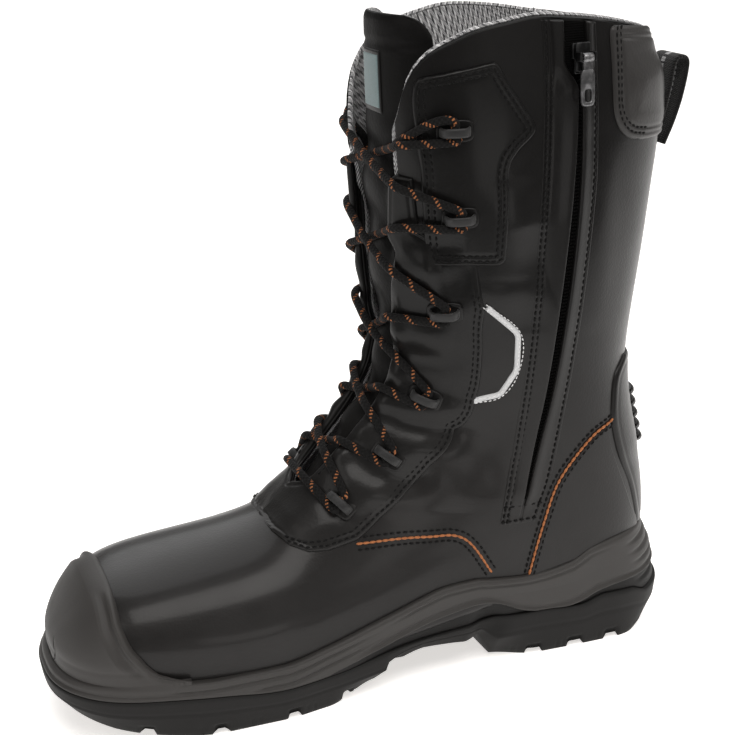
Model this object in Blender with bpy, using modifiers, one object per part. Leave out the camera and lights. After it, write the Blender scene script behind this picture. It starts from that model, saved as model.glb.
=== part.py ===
"""Tall safety boot for the right foot, standing empty on its sole.

Tables are in millimetres from the back of the heel: x runs to the toe, y to the
inner side of the foot and z up from the floor. Objects are in metres, with the
origin on the floor under the middle of the heel.
"""
import math

import bmesh
import bpy
import numpy as np
from mathutils import Matrix, Vector

MM = 0.001
HEEL_SETBACK = 60.0

WALL = 3.0
GAP = 0.35
PANEL_LIFT = 0.6
FACING_LIFT = 0.75
COUNTER_LIFT = 0.75
CAP_LIFT = 0.9
STRIP_LIFT = 1.0
FACING_THICK = 2.0
PANEL_THICK = 1.2
TOE_CAP_THICK = 3.2
PAD_THICK = 3.6
STRIP_THICK = 2.4
INSOLE_THICK = 4.0
TONGUE_THICK = 3.6
UPPER_SEAT = 3.0

LACE_RADIUS = 2.2
LACE_OVER_EDGE = 6.2
LOOP_LENGTH = 12.0
LOOP_HEIGHT = 6.6
LOOP_WIDTH = 5.0
LOOP_BAND = 1.3

CHAIN_WIDTH = 4.2
CHAIN_THICK = 1.4
SLIDER_SIZE = (8.0, 3.2, 10.5)
PIN_RADIUS = 0.8
PIN_LIFT = 7.6
TAB_LENGTH = 20.0
TAB_WIDTH = 5.2
TAB_THICK = 1.7

# Sections of the last, fanned from the toe round the instep and up the shaft. Each
# runs from a sole or back point to a ridge point, with its half widths, the share
# of its height where it is widest, and the powers of its lower and upper curve.
LAST_COLUMNS = ("sole_x", "sole_z", "ridge_x", "ridge_z", "medial", "lateral", "belly", "low", "high")
LAST_ROWS = {
    "toe_tip": (303.0, 36.0, 303.0, 36.0, 0.0, 0.0, 0.45, 2.40, 2.30),
    "toe_nose": (299.5, 25.5, 299.5, 48.0, 22.0, 20.0, 0.45, 2.60, 2.30),
    "toe_cap": (289.0, 22.5, 289.0, 62.8, 37.0, 35.0, 0.36, 3.20, 2.35),
    "toe_box": (270.0, 20.5, 271.0, 69.3, 44.5, 45.5, 0.28, 4.00, 2.35),
    "vamp_front": (244.0, 18.5, 246.0, 72.8, 47.5, 51.0, 0.24, 4.50, 2.20),
    "ball": (212.0, 18.0, 217.0, 77.0, 48.0, 53.5, 0.22, 5.00, 2.05),
    "vamp_back": (178.0, 20.0, 200.5, 85.0, 45.0, 51.0, 0.22, 5.00, 1.95),
    "waist": (142.0, 22.5, 186.5, 99.0, 42.0, 47.0, 0.22, 5.00, 1.90),
    "instep": (104.0, 25.5, 172.5, 116.0, 40.5, 43.5, 0.23, 4.80, 1.90),
    "heel_front": (64.0, 27.5, 160.5, 133.0, 40.0, 41.5, 0.27, 4.20, 1.95),
    "heel_corner": (26.0, 31.0, 153.5, 149.0, 39.5, 40.0, 0.33, 3.00, 2.05),
    "counter": (15.0, 60.0, 152.0, 163.5, 40.0, 40.0, 0.38, 2.40, 2.15),
    "ankle": (19.0, 94.0, 153.0, 178.0, 41.5, 41.5, 0.42, 2.20, 2.25),
    "achilles": (25.5, 127.0, 154.5, 195.0, 43.5, 43.5, 0.44, 2.15, 2.30),
    "shaft_low": (24.0, 160.0, 156.0, 212.0, 45.5, 45.5, 0.45, 2.15, 2.35),
    "shaft_mid": (19.5, 193.0, 157.5, 230.0, 47.0, 47.0, 0.46, 2.15, 2.40),
    "shaft_high": (15.5, 226.0, 159.5, 250.0, 48.0, 48.0, 0.47, 2.15, 2.40),
    "shaft_top": (13.5, 258.0, 161.5, 271.0, 48.0, 48.0, 0.47, 2.15, 2.40),
    "collar": (21.5, 290.0, 163.5, 292.0, 47.0, 47.0, 0.47, 2.15, 2.40),
    "over_collar": (31.0, 320.0, 166.0, 313.0, 46.0, 46.0, 0.47, 2.15, 2.40),
}

# Half gap between the facings, by section number.
THROAT_COLUMNS = ("along", "half_gap")
THROAT_ROWS = (
    (6.60, 0.0), (6.80, 6.5), (7.10, 9.5), (8.50, 12.0), (10.0, 14.0), (11.5, 16.5),
    (12.75, 20.0), (14.0, 25.0), (15.2, 28.0), (16.0, 30.3), (17.0, 30.8), (19.0, 31.0),
)
TOP_FROM = 15.0

# Top edge of the collar seen from the side.
COLLAR_COLUMNS = ("x", "z")
COLLAR_ROWS = (
    (10.0, 287.0), (22.0, 287.5), (38.0, 290.0), (58.0, 295.0), (76.0, 300.0), (94.0, 302.0),
    (111.0, 299.5), (122.0, 297.0), (131.0, 293.0), (139.0, 288.5), (145.5, 281.0),
    (148.8, 272.0), (150.5, 262.0), (166.0, 200.0),
)

# Sole along its length: half widths of its side, half widths of the rim, underside,
# line between outsole and midsole, and rim.
SOLE_COLUMNS = ("x", "medial", "lateral", "rim_medial", "rim_lateral", "ground", "wave", "rim")
SOLE_ROWS = (
    (0.0, 39.0, 39.0, 41.0, 41.0, 7.0, 21.0, 56.0),
    (20.0, 39.2, 39.2, 41.0, 41.2, 1.2, 21.0, 55.8),
    (32.0, 39.4, 39.6, 41.0, 41.5, 0.0, 25.0, 55.2),
    (47.0, 39.5, 40.2, 41.4, 42.0, 0.0, 25.5, 52.8),
    (60.0, 39.5, 40.8, 42.0, 42.8, 0.0, 22.4, 47.2),
    (82.0, 39.0, 42.0, 42.6, 44.4, 0.0, 23.5, 44.6),
    (104.0, 39.4, 43.6, 43.2, 46.2, 0.0, 23.6, 46.4),
    (112.0, 39.6, 44.6, 43.2, 47.0, 12.5, 23.0, 47.5),
    (127.0, 40.2, 46.8, 43.6, 48.8, 15.0, 22.4, 47.0),
    (143.0, 41.0, 49.4, 44.6, 50.6, 16.2, 21.6, 43.4),
    (152.0, 41.8, 50.8, 45.3, 51.6, 14.5, 20.8, 40.8),
    (161.5, 43.0, 52.2, 46.1, 52.8, 8.0, 19.6, 38.4),
    (163.0, 43.2, 52.4, 46.2, 53.0, 0.0, 19.3, 38.0),
    (190.0, 47.4, 56.0, 49.0, 56.0, 0.0, 16.2, 31.6),
    (215.0, 51.0, 57.0, 51.0, 56.8, 0.0, 15.8, 27.6),
    (244.0, 51.0, 56.0, 51.0, 55.6, 0.0, 19.0, 27.4),
    (266.0, 51.0, 56.0, 51.0, 55.6, 2.6, 21.0, 28.6),
    (290.0, 51.0, 56.0, 51.0, 55.6, 5.4, 22.0, 29.6),
    (311.0, 51.0, 56.0, 51.0, 55.6, 11.5, 24.0, 30.6),
)
SOLE_LENGTH = 311.0
SOLE_STATIONS = (
    0.0, 1.0, 4.0, 9.0, 17.0, 28.0, 42.0, 60.0, 82.0, 104.0, 112.0, 127.0, 143.0, 152.0, 161.5, 163.0,
    190.0, 215.0, 240.0, 260.0, 277.0, 290.0, 299.5, 306.0, 309.7, 311.0,
)
HEEL_ROUND = 42.0
TOE_ROUND = 235.0
TOE_TIP_Y = 2.0
RIM_BACK = 11.0
RIM_FRONT = 306.5

# Tread grooves: place along the sole, width, slant and inner end each side.
GROOVE_DEPTH = 3.2
GROOVE_COLUMNS = ("x", "width", "slant_deg", "inner_y")
GROOVE_ROWS = (
    (37.0, 7.0, 14.0, 15.0), (58.5, 8.0, 10.0, 15.0), (82.0, 8.0, 6.0, 15.0),
    (188.0, 6.0, -12.0, 12.0), (214.5, 6.0, -8.0, 12.0), (241.0, 6.0, 4.0, 12.0), (266.0, 6.0, 16.0, 12.0),
)

# Moulded toe cap, over the front of the vamp: section of its inner rim by the share
# of the way from the ridge down to its seat.
TOE_CAP_COLUMNS = ("share", "along")
TOE_CAP_ROWS = ((0.0, 2.43), (0.60, 2.43), (0.75, 2.50), (0.86, 2.66), (0.94, 2.92), (1.0, 3.25))
TOE_CAP_STEPS = (0.0, 0.1, 0.2, 0.4, 0.6, 0.8, 1.0)
TOE_CAP_SEAT = 31.4

# Facing round the throat: its outer edge round each section.
FACING_COLUMNS = ("along", "to_side")
FACING_ROWS = (
    (5.41, 0.040), (5.47, 0.105), (5.71, 0.176), (6.04, 0.213), (6.42, 0.224), (6.99, 0.219),
    (7.54, 0.187), (8.20, 0.160), (8.92, 0.139), (9.89, 0.123), (10.87, 0.158), (12.22, 0.231),
    (13.15, 0.272), (13.55, 0.270), (13.62, 0.225), (13.69, 0.185), (13.75, 0.152), (15.0, 0.152),
    (16.0, 0.150), (16.9, 0.150),
)

# Panels seen from the side: each row crosses the panel from its front to its back.
PANEL_COLUMNS = ("front_x", "front_z", "back_x", "back_z")
EYESTAY_ROWS = (
    (136.5, 200.5, 112.0, 200.0), (138.5, 204.0, 109.5, 201.5), (139.5, 209.0, 109.2, 206.0),
    (141.0, 227.0, 108.8, 224.0), (142.0, 240.0, 108.4, 240.0), (143.2, 249.0, 103.0, 247.5),
    (144.2, 258.0, 95.4, 256.0), (145.0, 264.0, 100.5, 265.5), (145.4, 271.0, 107.0, 275.0),
    (144.4, 277.5, 112.0, 283.5), (141.0, 279.5, 114.5, 285.0),
)
COUNTER_ROWS = (
    (88.0, 49.0, 28.5, 60.5), (85.5, 58.0, 33.0, 68.0), (81.6, 70.7, 37.0, 77.0), (78.5, 80.0, 41.0, 86.0),
    (74.2, 89.8, 44.5, 94.0), (67.5, 99.0, 47.5, 101.5), (59.6, 107.5, 49.3, 109.5),
    (53.0, 111.5, 49.6, 113.0),
)
ZIP_ROWS = (
    (91.5, 84.0), (88.2, 100.0), (85.3, 116.0), (82.8, 131.0), (80.8, 147.0), (79.0, 165.0), (77.4, 183.0),
    (76.0, 203.0), (75.0, 224.0), (74.6, 245.0), (74.8, 264.0), (75.6, 280.0), (76.4, 294.5),
)
FRONT_FLAP_WIDTH = (7.0, 16.5)
BACK_FLAP_WIDTH = (8.0, 9.5)
FLAP_CLEAR = 3.0
TRIM_ROWS = ((113.0, 178.0), (98.8, 165.0), (98.2, 147.5), (104.6, 135.6), (112.8, 133.6))
TRIM_WIDTH = 3.4
TRIM_THICK = 0.8

# Back pieces: front edge seen from the side, and height where each row meets the back seam.
BACK_COLUMNS = ("front_x", "front_z", "seam_z")
PAD_ROWS = (
    (40.0, 246.0, 244.5), (47.5, 248.0, 247.0), (53.0, 252.5, 251.5), (56.2, 259.5, 258.0),
    (57.2, 270.0, 267.0), (57.6, 281.0, 276.5), (58.0, 291.5, 285.5),
)
STRIP_ROWS = (
    (25.8, 59.8, 58.8), (33.5, 78.0, 75.0), (42.0, 96.0, 92.0), (46.5, 112.0, 106.0),
    (46.6, 125.0, 120.0), (44.0, 136.0, 133.0), (36.0, 143.0, 143.0),
)
RIB_ROWS = (93.5, 100.0, 106.5, 113.0)
RIB_RADIUS = 2.3
RIB_HALF_WIDTH = 15.0

TONGUE_COLUMNS = ("along", "half_width", "sink")
TONGUE_ROWS = (
    (5.7, 11.0, 4.8), (6.4, 19.0, 5.1), (7.2, 22.0, 5.4), (8.5, 23.0, 5.4), (10.0, 24.0, 5.6),
    (11.5, 26.0, 5.9), (12.75, 29.0, 6.5), (14.0, 32.0, 7.6), (15.2, 34.0, 9.2), (16.2, 35.0, 11.0),
    (17.2, 35.0, 13.0), (18.45, 33.0, 14.6),
)

# Lace loops from the lowest up, seen from the side, with the throat's slope there and
# how far the lace starts from the loop's edge, above it and below it.
LOOP_COLUMNS = ("x", "z", "slope_deg", "over", "under")
LOOP_ROWS = (
    (177.4, 88.8, 135.0, 1.85, 3.5), (153.9, 108.5, 128.0, 1.85, 2.5), (135.6, 135.2, 114.0, 2.0, 3.5),
    (130.3, 177.4, 88.0, 1.5, 3.0), (126.7, 219.8, 87.0, 1.6, 2.9), (129.6, 257.2, 88.0, 1.6, 2.5),
)

PULL_LOOP_HALF_WIDTH = 10.0
PULL_LOOP_BAND = 1.7
PULL_LOOP_ROWS = (
    (14.4, 230.5), (14.0, 238.6), (9.0, 243.0), (5.4, 252.0), (2.6, 263.0), (0.4, 274.0), (-2.2, 276.6),
    (-5.2, 274.4), (-2.6, 260.0), (1.6, 248.0), (7.2, 237.0),
)

COLOURS = {
    "sole": (0.030, 0.029, 0.028, 0.60),
    "outsole": (0.018, 0.018, 0.018, 0.70),
    "leather": (0.012, 0.012, 0.012, 0.35),
    "panel": (0.015, 0.015, 0.015, 0.40),
    "lining": (0.20, 0.20, 0.21, 0.90),
    "cord": (0.020, 0.018, 0.016, 0.85),
    "loop": (0.030, 0.030, 0.030, 0.45),
    "zip": (0.040, 0.040, 0.042, 0.40),
    "trim": (0.80, 0.80, 0.80, 0.40),
}


def clear_scene():
    """Remove what the scene starts with."""
    for item in list(bpy.data.objects):
        bpy.data.objects.remove(item, do_unlink=True)


def smooth_step(value):
    """Ease from 0 to 1 for a value between 0 and 1."""
    value = np.clip(value, 0.0, 1.0)
    return value * value * (3.0 - 2.0 * value)


def bisect(function, low, high, steps=40):
    """Root of a function that falls through zero between low and high, for arrays."""
    low = np.array(low, float)
    high = np.array(high, float)
    for _ in range(steps):
        middle = 0.5 * (low + high)
        above = function(middle) > 0
        low = np.where(above, middle, low)
        high = np.where(above, high, middle)
    return 0.5 * (low + high)


def column(rows, x, index):
    """Value of one column of a table, read at x of its first column."""
    table = np.array(rows, float)
    return np.interp(x, table[:, 0], table[:, index])


class Last:
    """Outer surface of the upper, by section number and share of the way round.

    along counts sections from the toe; around is 0 on the ridge, 0.5 where a section
    is widest and 1 on the sole or back seam, positive on the inner side.
    """

    def __init__(self):
        table = np.array(list(LAST_ROWS.values()), float)
        before = table[1].copy()
        before[0:4] = table[1, [2, 3, 0, 1]]
        before[4:6] *= -1.0
        self.table = np.vstack([before, table])
        self.end = len(table) - 1
        count = len(self.table)
        matrix = np.eye(count)
        bends = np.zeros_like(self.table)
        for i in range(1, count - 1):
            matrix[i, i - 1:i + 2] = (1.0, 4.0, 1.0)
            bends[i] = 6.0 * (self.table[i - 1] - 2.0 * self.table[i] + self.table[i + 1])
        self.bends = np.linalg.solve(matrix, bends)

    def section(self, along):
        """Row of section values at a section number."""
        along = np.clip(along, 0.0, self.end) + 1.0
        i = np.minimum(along.astype(int), len(self.table) - 2)
        u = (along - i)[..., None]
        v = 1.0 - u
        straight = self.table[i] * v + self.table[i + 1] * u
        return straight + (v ** 3 - v) * self.bends[i] / 6.0 + (u ** 3 - u) * self.bends[i + 1] / 6.0

    def surface(self, along, around):
        """Points on the surface itself."""
        along, around = np.broadcast_arrays(np.asarray(along, float), np.asarray(around, float))
        row = self.section(along)
        sole = row[..., 0:2]
        span = row[..., 2:4] - sole
        length = np.maximum(np.hypot(span[..., 0], span[..., 1]), 1e-6)
        angle = np.abs(around) * math.pi
        half = np.maximum(np.where(around >= 0, row[..., 4], row[..., 5]), 1e-6)
        lower = smooth_step((angle - math.pi / 3.0) / (math.pi / 3.0))
        power = row[..., 8] * (1.0 - lower) + row[..., 7] * lower
        below = row[..., 6] * length
        reach = (length - below) * (1.0 - lower) + below * lower
        rise = np.abs(np.cos(angle)) / reach
        side = np.abs(np.sin(angle)) / half
        radius = (rise ** power + side ** power) ** (-1.0 / power)
        height = (radius * np.cos(angle) + below) / length
        x = sole[..., 0] + span[..., 0] * height
        z = sole[..., 1] + span[..., 1] * height
        y = np.sign(around) * radius * np.abs(np.sin(angle))
        return np.stack([x, y, z], axis=-1)

    def normal(self, along, around):
        """Outward direction."""
        along, around = np.broadcast_arrays(np.asarray(along, float), np.asarray(around, float))
        up = self.surface(np.minimum(along + 0.02, self.end), around)
        down = self.surface(np.maximum(along - 0.02, 0.0), around)
        on = self.surface(along, np.minimum(around + 0.003, 1.0))
        back = self.surface(along, np.maximum(around - 0.003, -1.0))
        out = np.cross(on - back, up - down)
        out[..., 1] = np.where(np.abs(around) > 0.9999, 0.0, out[..., 1])
        out = np.where(along[..., None] < 0.01, np.array([1.0, 0.0, 0.0]), out)
        return out / np.maximum(np.linalg.norm(out, axis=-1, keepdims=True), 1e-12)

    def point(self, along, around, lift=0.0):
        """Points lifted off the surface by so many millimetres."""
        base = self.surface(along, around)
        return base + self.normal(along, around) * np.asarray(lift, float)[..., None]

    def locate(self, x, z):
        """Section number and share round of the side point that shows at x, z."""
        x, z = np.broadcast_arrays(np.asarray(x, float), np.asarray(z, float))

        def ahead(along):
            row = self.section(along)
            across = (x - row[..., 0]) * (row[..., 3] - row[..., 1])
            return (z - row[..., 1]) * (row[..., 2] - row[..., 0]) - across

        along = bisect(ahead, np.full(x.shape, 0.5), np.full(x.shape, float(self.end)))
        row = self.section(along)
        span = row[..., 2:4] - row[..., 0:2]
        height = ((x - row[..., 0]) * span[..., 0] + (z - row[..., 1]) * span[..., 1]) / (span ** 2).sum(-1)

        def over(around):
            spot = self.surface(along, around)
            reach = (spot[..., 0] - row[..., 0]) * span[..., 0]
            reach = reach + (spot[..., 2] - row[..., 1]) * span[..., 1]
            return reach / (span ** 2).sum(-1) - height

        return along, bisect(over, np.zeros(x.shape), np.ones(x.shape))

    def around_at(self, along, half_width):
        """Share round at which a section is so wide, above its widest line."""
        along, half_width = np.broadcast_arrays(np.asarray(along, float), np.asarray(half_width, float))

        def narrower(around):
            return half_width - self.surface(along, around)[..., 1]

        found = bisect(narrower, np.zeros(along.shape), np.full(along.shape, 0.5))
        return np.where(half_width <= 0.0, 0.0, found)

    def around_below(self, along, half_width, side):
        """Share round at which a section is so wide, below or behind its widest line."""
        along, half_width = np.broadcast_arrays(np.asarray(along, float), np.asarray(half_width, float))

        def wider(around):
            return np.abs(self.surface(along, around * side)[..., 1]) - half_width

        found = bisect(wider, np.full(along.shape, 0.5), np.ones(along.shape))
        return np.where(half_width < 0.01, 1.0, found)

    def back_section(self, z):
        """Section number whose back point is at a height."""
        z = np.asarray(z, float)
        return bisect(lambda s: z - self.section(s)[..., 1], np.full(z.shape, 10.0), np.full(z.shape, 19.0))

    def around_seat(self, along, seat):
        """Share round at which a section comes down to a level, or 1 if it stays above."""
        share = np.linspace(0.42, 1.0, 240)
        along = np.asarray(along, float)
        level = self.surface(along[:, None], share[None, :])
        low = level[..., 2] < seat(level[..., 0])
        first = np.argmax(low, axis=1)
        return np.where(low.any(axis=1), share[first], 1.0)


def bed_level(x):
    """Height of the footbed under the last."""
    rows = np.array([row[0:2] for row in LAST_ROWS.values()])[1:11]
    return np.interp(x, rows[::-1, 0], rows[::-1, 1])


def material(name, colour):
    """Plain surface with a base colour and roughness."""
    made = bpy.data.materials.new(name)
    made.use_nodes = True
    shader = made.node_tree.nodes["Principled BSDF"]
    shader.inputs["Base Color"].default_value = colour[0:3] + (1.0,)
    shader.inputs["Roughness"].default_value = colour[3]
    return made


class Maker:
    """Adds named pieces to the boot's collection."""

    def __init__(self, last):
        self.last = last
        self.parts = bpy.data.collections.new("safety_boot")
        self.tools = bpy.data.collections.new("cutters")
        for group in (self.parts, self.tools):
            bpy.context.scene.collection.children.link(group)

    def add(self, name, data, colour=None):
        """Object for a mesh or curve; without a colour it is a cutter."""
        piece = bpy.data.objects.new(name, data)
        if colour is None:
            self.tools.objects.link(piece)
            piece.hide_render = True
            piece.display_type = "WIRE"
        else:
            self.parts.objects.link(piece)
            data.materials.append(material(name, COLOURS[colour]))
        return piece

    def sheet(self, name, grids, colour=None):
        """Mesh of point grids, each with its winding flag, welded where they meet."""
        shape = bmesh.new()
        for points, flip in grids:
            rows, columns = points.shape[0:2]
            spots = [[shape.verts.new(boot_space(p)) for p in line] for line in points]
            for i in range(rows - 1):
                for j in range(columns - 1):
                    ring = [spots[i][j], spots[i][j + 1], spots[i + 1][j + 1], spots[i + 1][j]]
                    shape.faces.new(ring[::-1] if flip else ring)
        bmesh.ops.remove_doubles(shape, verts=shape.verts, dist=0.02 * MM)
        bmesh.ops.dissolve_degenerate(shape, edges=shape.edges, dist=0.005 * MM)
        bmesh.ops.triangulate(shape, faces=shape.faces, quad_method="FIXED")
        return self.add(name, self.finish_mesh(name, shape), colour)

    def close(self, piece):
        """Fill the open edge of a sheet."""
        shape = bmesh.new()
        shape.from_mesh(piece.data)
        bmesh.ops.holes_fill(shape, edges=[edge for edge in shape.edges if edge.is_boundary], sides=0)
        bmesh.ops.recalc_face_normals(shape, faces=shape.faces)
        shape.to_mesh(piece.data)
        shape.free()
        return piece

    def finish_mesh(self, name, shape):
        """Mesh data from an edited shape."""
        data = bpy.data.meshes.new(name)
        shape.to_mesh(data)
        shape.free()
        return data

    def solidify(self, piece, thickness, outward, even=True):
        """Give an open sheet its thickness, outwards or into the boot."""
        shell = piece.modifiers.new("thickness", "SOLIDIFY")
        shell.thickness = thickness * MM
        shell.offset = 1.0 if outward else -1.0
        shell.use_even_offset = even
        shell.use_quality_normals = True
        return piece

    def cut(self, piece, cutter, operation="DIFFERENCE"):
        """Cut a piece by a cutter, or join the cutter to it."""
        boolean = piece.modifiers.new("cut", "BOOLEAN")
        boolean.operation = operation
        boolean.solver = "EXACT"
        boolean.object = cutter
        return piece

    def panel(self, name, rows, columns, colour, thickness, sides=(1,), lift=PANEL_LIFT):
        """Panel on the side of the upper, from rows that cross it front to back."""
        table = np.array(rows, float)
        share = np.linspace(0.0, 1.0, columns)[None, :]
        x = table[:, 0:1] * (1.0 - share) + table[:, 2:3] * share
        z = table[:, 1:2] * (1.0 - share) + table[:, 3:4] * share
        along, around = self.last.locate(x, z)
        grids = [(self.last.point(along, around * side, lift), side < 0) for side in sides]
        return self.solidify(self.sheet(name, grids, colour), thickness, True)

    def back_panel(self, name, rows, columns, colour, thickness, lift=PANEL_LIFT):
        """Panel round the back seam, from its front edge and its heights on the seam."""
        table = np.array(rows, float)
        along, around = self.last.locate(table[:, 0], table[:, 1])
        seam = self.last.back_section(table[:, 2])
        share = np.linspace(0.0, 1.0, columns)[None, :]
        along = along[:, None] * (1.0 - share) + seam[:, None] * share
        across = around[:, None] * (1.0 - share) + share
        grids = [(self.last.point(along, across * side, lift), side < 0) for side in (1, -1)]
        return self.solidify(self.sheet(name, grids, colour), thickness, True)

    def tube(self, name, points, radius, colour=None, resolution=1):
        """Round cord through points, in boot millimetres."""
        curve = bpy.data.curves.new(name, "CURVE")
        curve.dimensions = "3D"
        curve.bevel_depth = radius * MM
        curve.bevel_resolution = resolution
        curve.use_fill_caps = True
        spline = curve.splines.new("POLY")
        spline.points.add(len(points) - 1)
        for spot, p in zip(spline.points, points):
            spot.co = tuple(boot_space(p)) + (1.0,)
        return self.add(name, curve, colour)

    def as_mesh(self, piece):
        """Replace a curve by its mesh, ready to be cut or joined."""
        bpy.context.view_layer.update()
        graph = bpy.context.evaluated_depsgraph_get()
        data = bpy.data.meshes.new_from_object(piece.evaluated_get(graph))
        name = piece.name
        groups = list(piece.users_collection)
        hidden = piece.hide_render
        bpy.data.objects.remove(piece, do_unlink=True)
        made = bpy.data.objects.new(name, data)
        for group in groups:
            group.objects.link(made)
        made.hide_render = hidden
        made.display_type = "WIRE" if hidden else "TEXTURED"
        return made

    def outline(self, name, loops, half_depth, colour=None):
        """Flat outline with holes, extruded both ways along its own z axis."""
        curve = bpy.data.curves.new(name, "CURVE")
        curve.dimensions = "2D"
        curve.fill_mode = "BOTH"
        curve.extrude = half_depth * MM
        for loop in loops:
            spline = curve.splines.new("POLY")
            spline.points.add(len(loop) - 1)
            spline.use_cyclic_u = True
            for spot, p in zip(spline.points, loop):
                spot.co = (p[0] * MM, p[1] * MM, 0.0, 1.0)
        return self.add(name, curve, colour)

    def box(self, name, size, colour=None):
        """Box about its own origin."""
        shape = bmesh.new()
        bmesh.ops.create_cube(shape, size=1.0)
        bmesh.ops.scale(shape, vec=Vector(size) * MM, verts=shape.verts)
        return self.add(name, self.finish_mesh(name, shape), colour)


def boot_space(point):
    """Metres from the origin for millimetres from the back of the heel."""
    return Vector(((point[0] - HEEL_SETBACK) * MM, point[1] * MM, point[2] * MM))


def placed(piece, origin, x_axis, y_axis, z_axis):
    """Set a piece at a point with its own axes."""
    turn = Matrix((x_axis, y_axis, z_axis)).transposed().to_4x4()
    piece.matrix_world = Matrix.Translation(boot_space(origin)) @ turn
    return piece


def throat_edge(last, along):
    """Share round of the facing edge at a section number."""
    return last.around_at(along, column(THROAT_ROWS, along, 1))


def wall_columns():
    """Shares of the way from the throat or ridge to the wall's lower edge."""
    return np.linspace(0.0, 1.0, 12)


def wall_rows(top):
    """Section numbers of the wall's rows, closer at the tip of the toe."""
    return np.concatenate([[0.0, 0.25], np.arange(0.5, 12.1, 0.5), np.arange(13.0, top + 0.01, 1.0)])


def wall_seat(x):
    """Height of the wall's lower edge."""
    return bed_level(x) + UPPER_SEAT


def make_upper(maker):
    """Hollow leather wall, open at collar, throat and sole."""
    last = maker.last
    columns = wall_columns()
    low = wall_rows(TOP_FROM)
    start = throat_edge(last, low)
    stop = last.around_seat(low, wall_seat)
    around = start[:, None] + (stop - start)[:, None] * columns[None, :]
    along = np.repeat(low[:, None], len(columns), axis=1)
    top = collar_edge(last, around[-1])
    climb = np.linspace(0.0, 1.0, 5)[1:, None]
    along = np.vstack([along, TOP_FROM + climb * (top - TOP_FROM)[None, :]])
    around = np.vstack([around, np.repeat(around[-1:], len(climb), axis=0)])
    grids = [(last.surface(along, around * side), side < 0) for side in (1, -1)]
    return maker.solidify(maker.sheet("upper", grids, "leather"), WALL, False)


def collar_edge(last, around):
    """Section number of the collar's top edge at a share round."""

    def below(along):
        spot = last.surface(along, around)
        return column(COLLAR_ROWS, spot[..., 0], 1) - spot[..., 2]

    return bisect(below, np.full(around.shape, TOP_FROM), np.full(around.shape, float(last.end)))


def make_insole(maker):
    """Footbed in the bottom of the upper."""
    last = maker.last
    along = np.arange(1.5, 9.6, 0.5)
    seat = last.around_seat(along, wall_seat)
    share = np.array([1.0, 0.8, 0.0])
    grids = []
    for side in (1, -1):
        half = np.abs(last.surface(along, seat * side)[:, 1]) - WALL - 1.6
        around = last.around_below(along[:, None], half[:, None] * share[None, :], side)
        grids.append((last.point(along[:, None], around * side, -0.6), side < 0))
    return maker.solidify(maker.sheet("insole", grids, "lining"), INSOLE_THICK, False)


def make_tongue(maker):
    """Padded tongue behind the facings, higher than the collar."""
    last = maker.last
    bottom, top = TONGUE_ROWS[0][0], TONGUE_ROWS[-1][0]
    rows = np.concatenate([np.arange(bottom, 13.0, 0.65), np.linspace(13.2, top, 7)])
    around = last.around_at(rows, column(TONGUE_ROWS, rows, 1))
    share = np.linspace(0.0, 1.0, 5)[None, :]
    along = np.repeat(rows[:, None], 5, axis=1)
    sink = -np.repeat(column(TONGUE_ROWS, rows, 2)[:, None], 5, axis=1)
    grids = [(last.point(along, around[:, None] * share * side, sink), side < 0) for side in (1, -1)]
    return maker.solidify(maker.sheet("tongue", grids, "leather"), TONGUE_THICK, False)


def make_toe_cap(maker):
    """Moulded cap over the toe, standing on the midsole's rim."""
    last = maker.last
    share = wall_columns()
    along = np.array(TOE_CAP_STEPS)[:, None] * column(TOE_CAP_ROWS, share, 1)[None, :]
    stop = last.around_seat(along.ravel(), lambda x: np.full(np.shape(x), TOE_CAP_SEAT))
    around = share[None, :] * stop.reshape(along.shape)
    grids = [(last.point(along, around * side, CAP_LIFT), side < 0) for side in (1, -1)]
    return maker.solidify(maker.sheet("toe_cap", grids, "sole"), TOE_CAP_THICK, True, False)


def make_facing(maker):
    """Raised facing round the throat, over the vamp and up both front edges."""
    last = maker.last
    table = np.array(FACING_ROWS, float)
    steps = np.sort(np.concatenate([table[:, 0], [6.7, 9.4, 10.35, 11.5]]))
    start = throat_edge(last, steps)
    stop = np.interp(steps, table[:, 0], table[:, 1])
    share = np.linspace(0.0, 1.0, 5)[None, :]
    around = start[:, None] * (1.0 - share) + stop[:, None] * share
    along = np.repeat(steps[:, None], 5, axis=1)
    grids = [(last.point(along, around * side, FACING_LIFT), side < 0) for side in (1, -1)]
    return maker.solidify(maker.sheet("facing", grids, "panel"), FACING_THICK, True)


def sole_ring(widths, inset, height, rim=False):
    """Closed ring of the sole, inner side first, at a height along it."""
    x = np.array(SOLE_STATIONS)
    heel = np.sqrt(np.clip(1.0 - np.clip((HEEL_ROUND - x) / HEEL_ROUND, 0.0, 1.0) ** 2, 0.0, 1.0))
    toe = np.clip((x - TOE_ROUND) / (SOLE_LENGTH - TOE_ROUND), 0.0, 1.0)
    narrow = heel * np.sqrt(np.clip(1.0 - toe ** 2, 0.0, 1.0))
    tip = TOE_TIP_Y * smooth_step((x - 150.0) / 150.0)
    medial = tip + (column(SOLE_ROWS, x, widths) - tip) * narrow
    lateral = tip - (column(SOLE_ROWS, x, widths + 1) + tip) * narrow
    place = RIM_BACK + x / SOLE_LENGTH * (RIM_FRONT - RIM_BACK) if rim else x
    edge = np.concatenate([np.stack([place, medial], 1), np.stack([place, lateral], 1)[-2:0:-1]])
    ahead = np.roll(edge, -1, axis=0) - np.roll(edge, 1, axis=0)
    ahead /= np.linalg.norm(ahead, axis=1, keepdims=True)
    inwards = np.stack([ahead[:, 1], -ahead[:, 0]], 1)
    reach = np.concatenate([x, x[-2:0:-1]])
    depth = inset(reach) if callable(inset) else np.full(reach.shape, inset)
    return np.column_stack([edge + inwards * depth[:, None], height(reach)])


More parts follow.
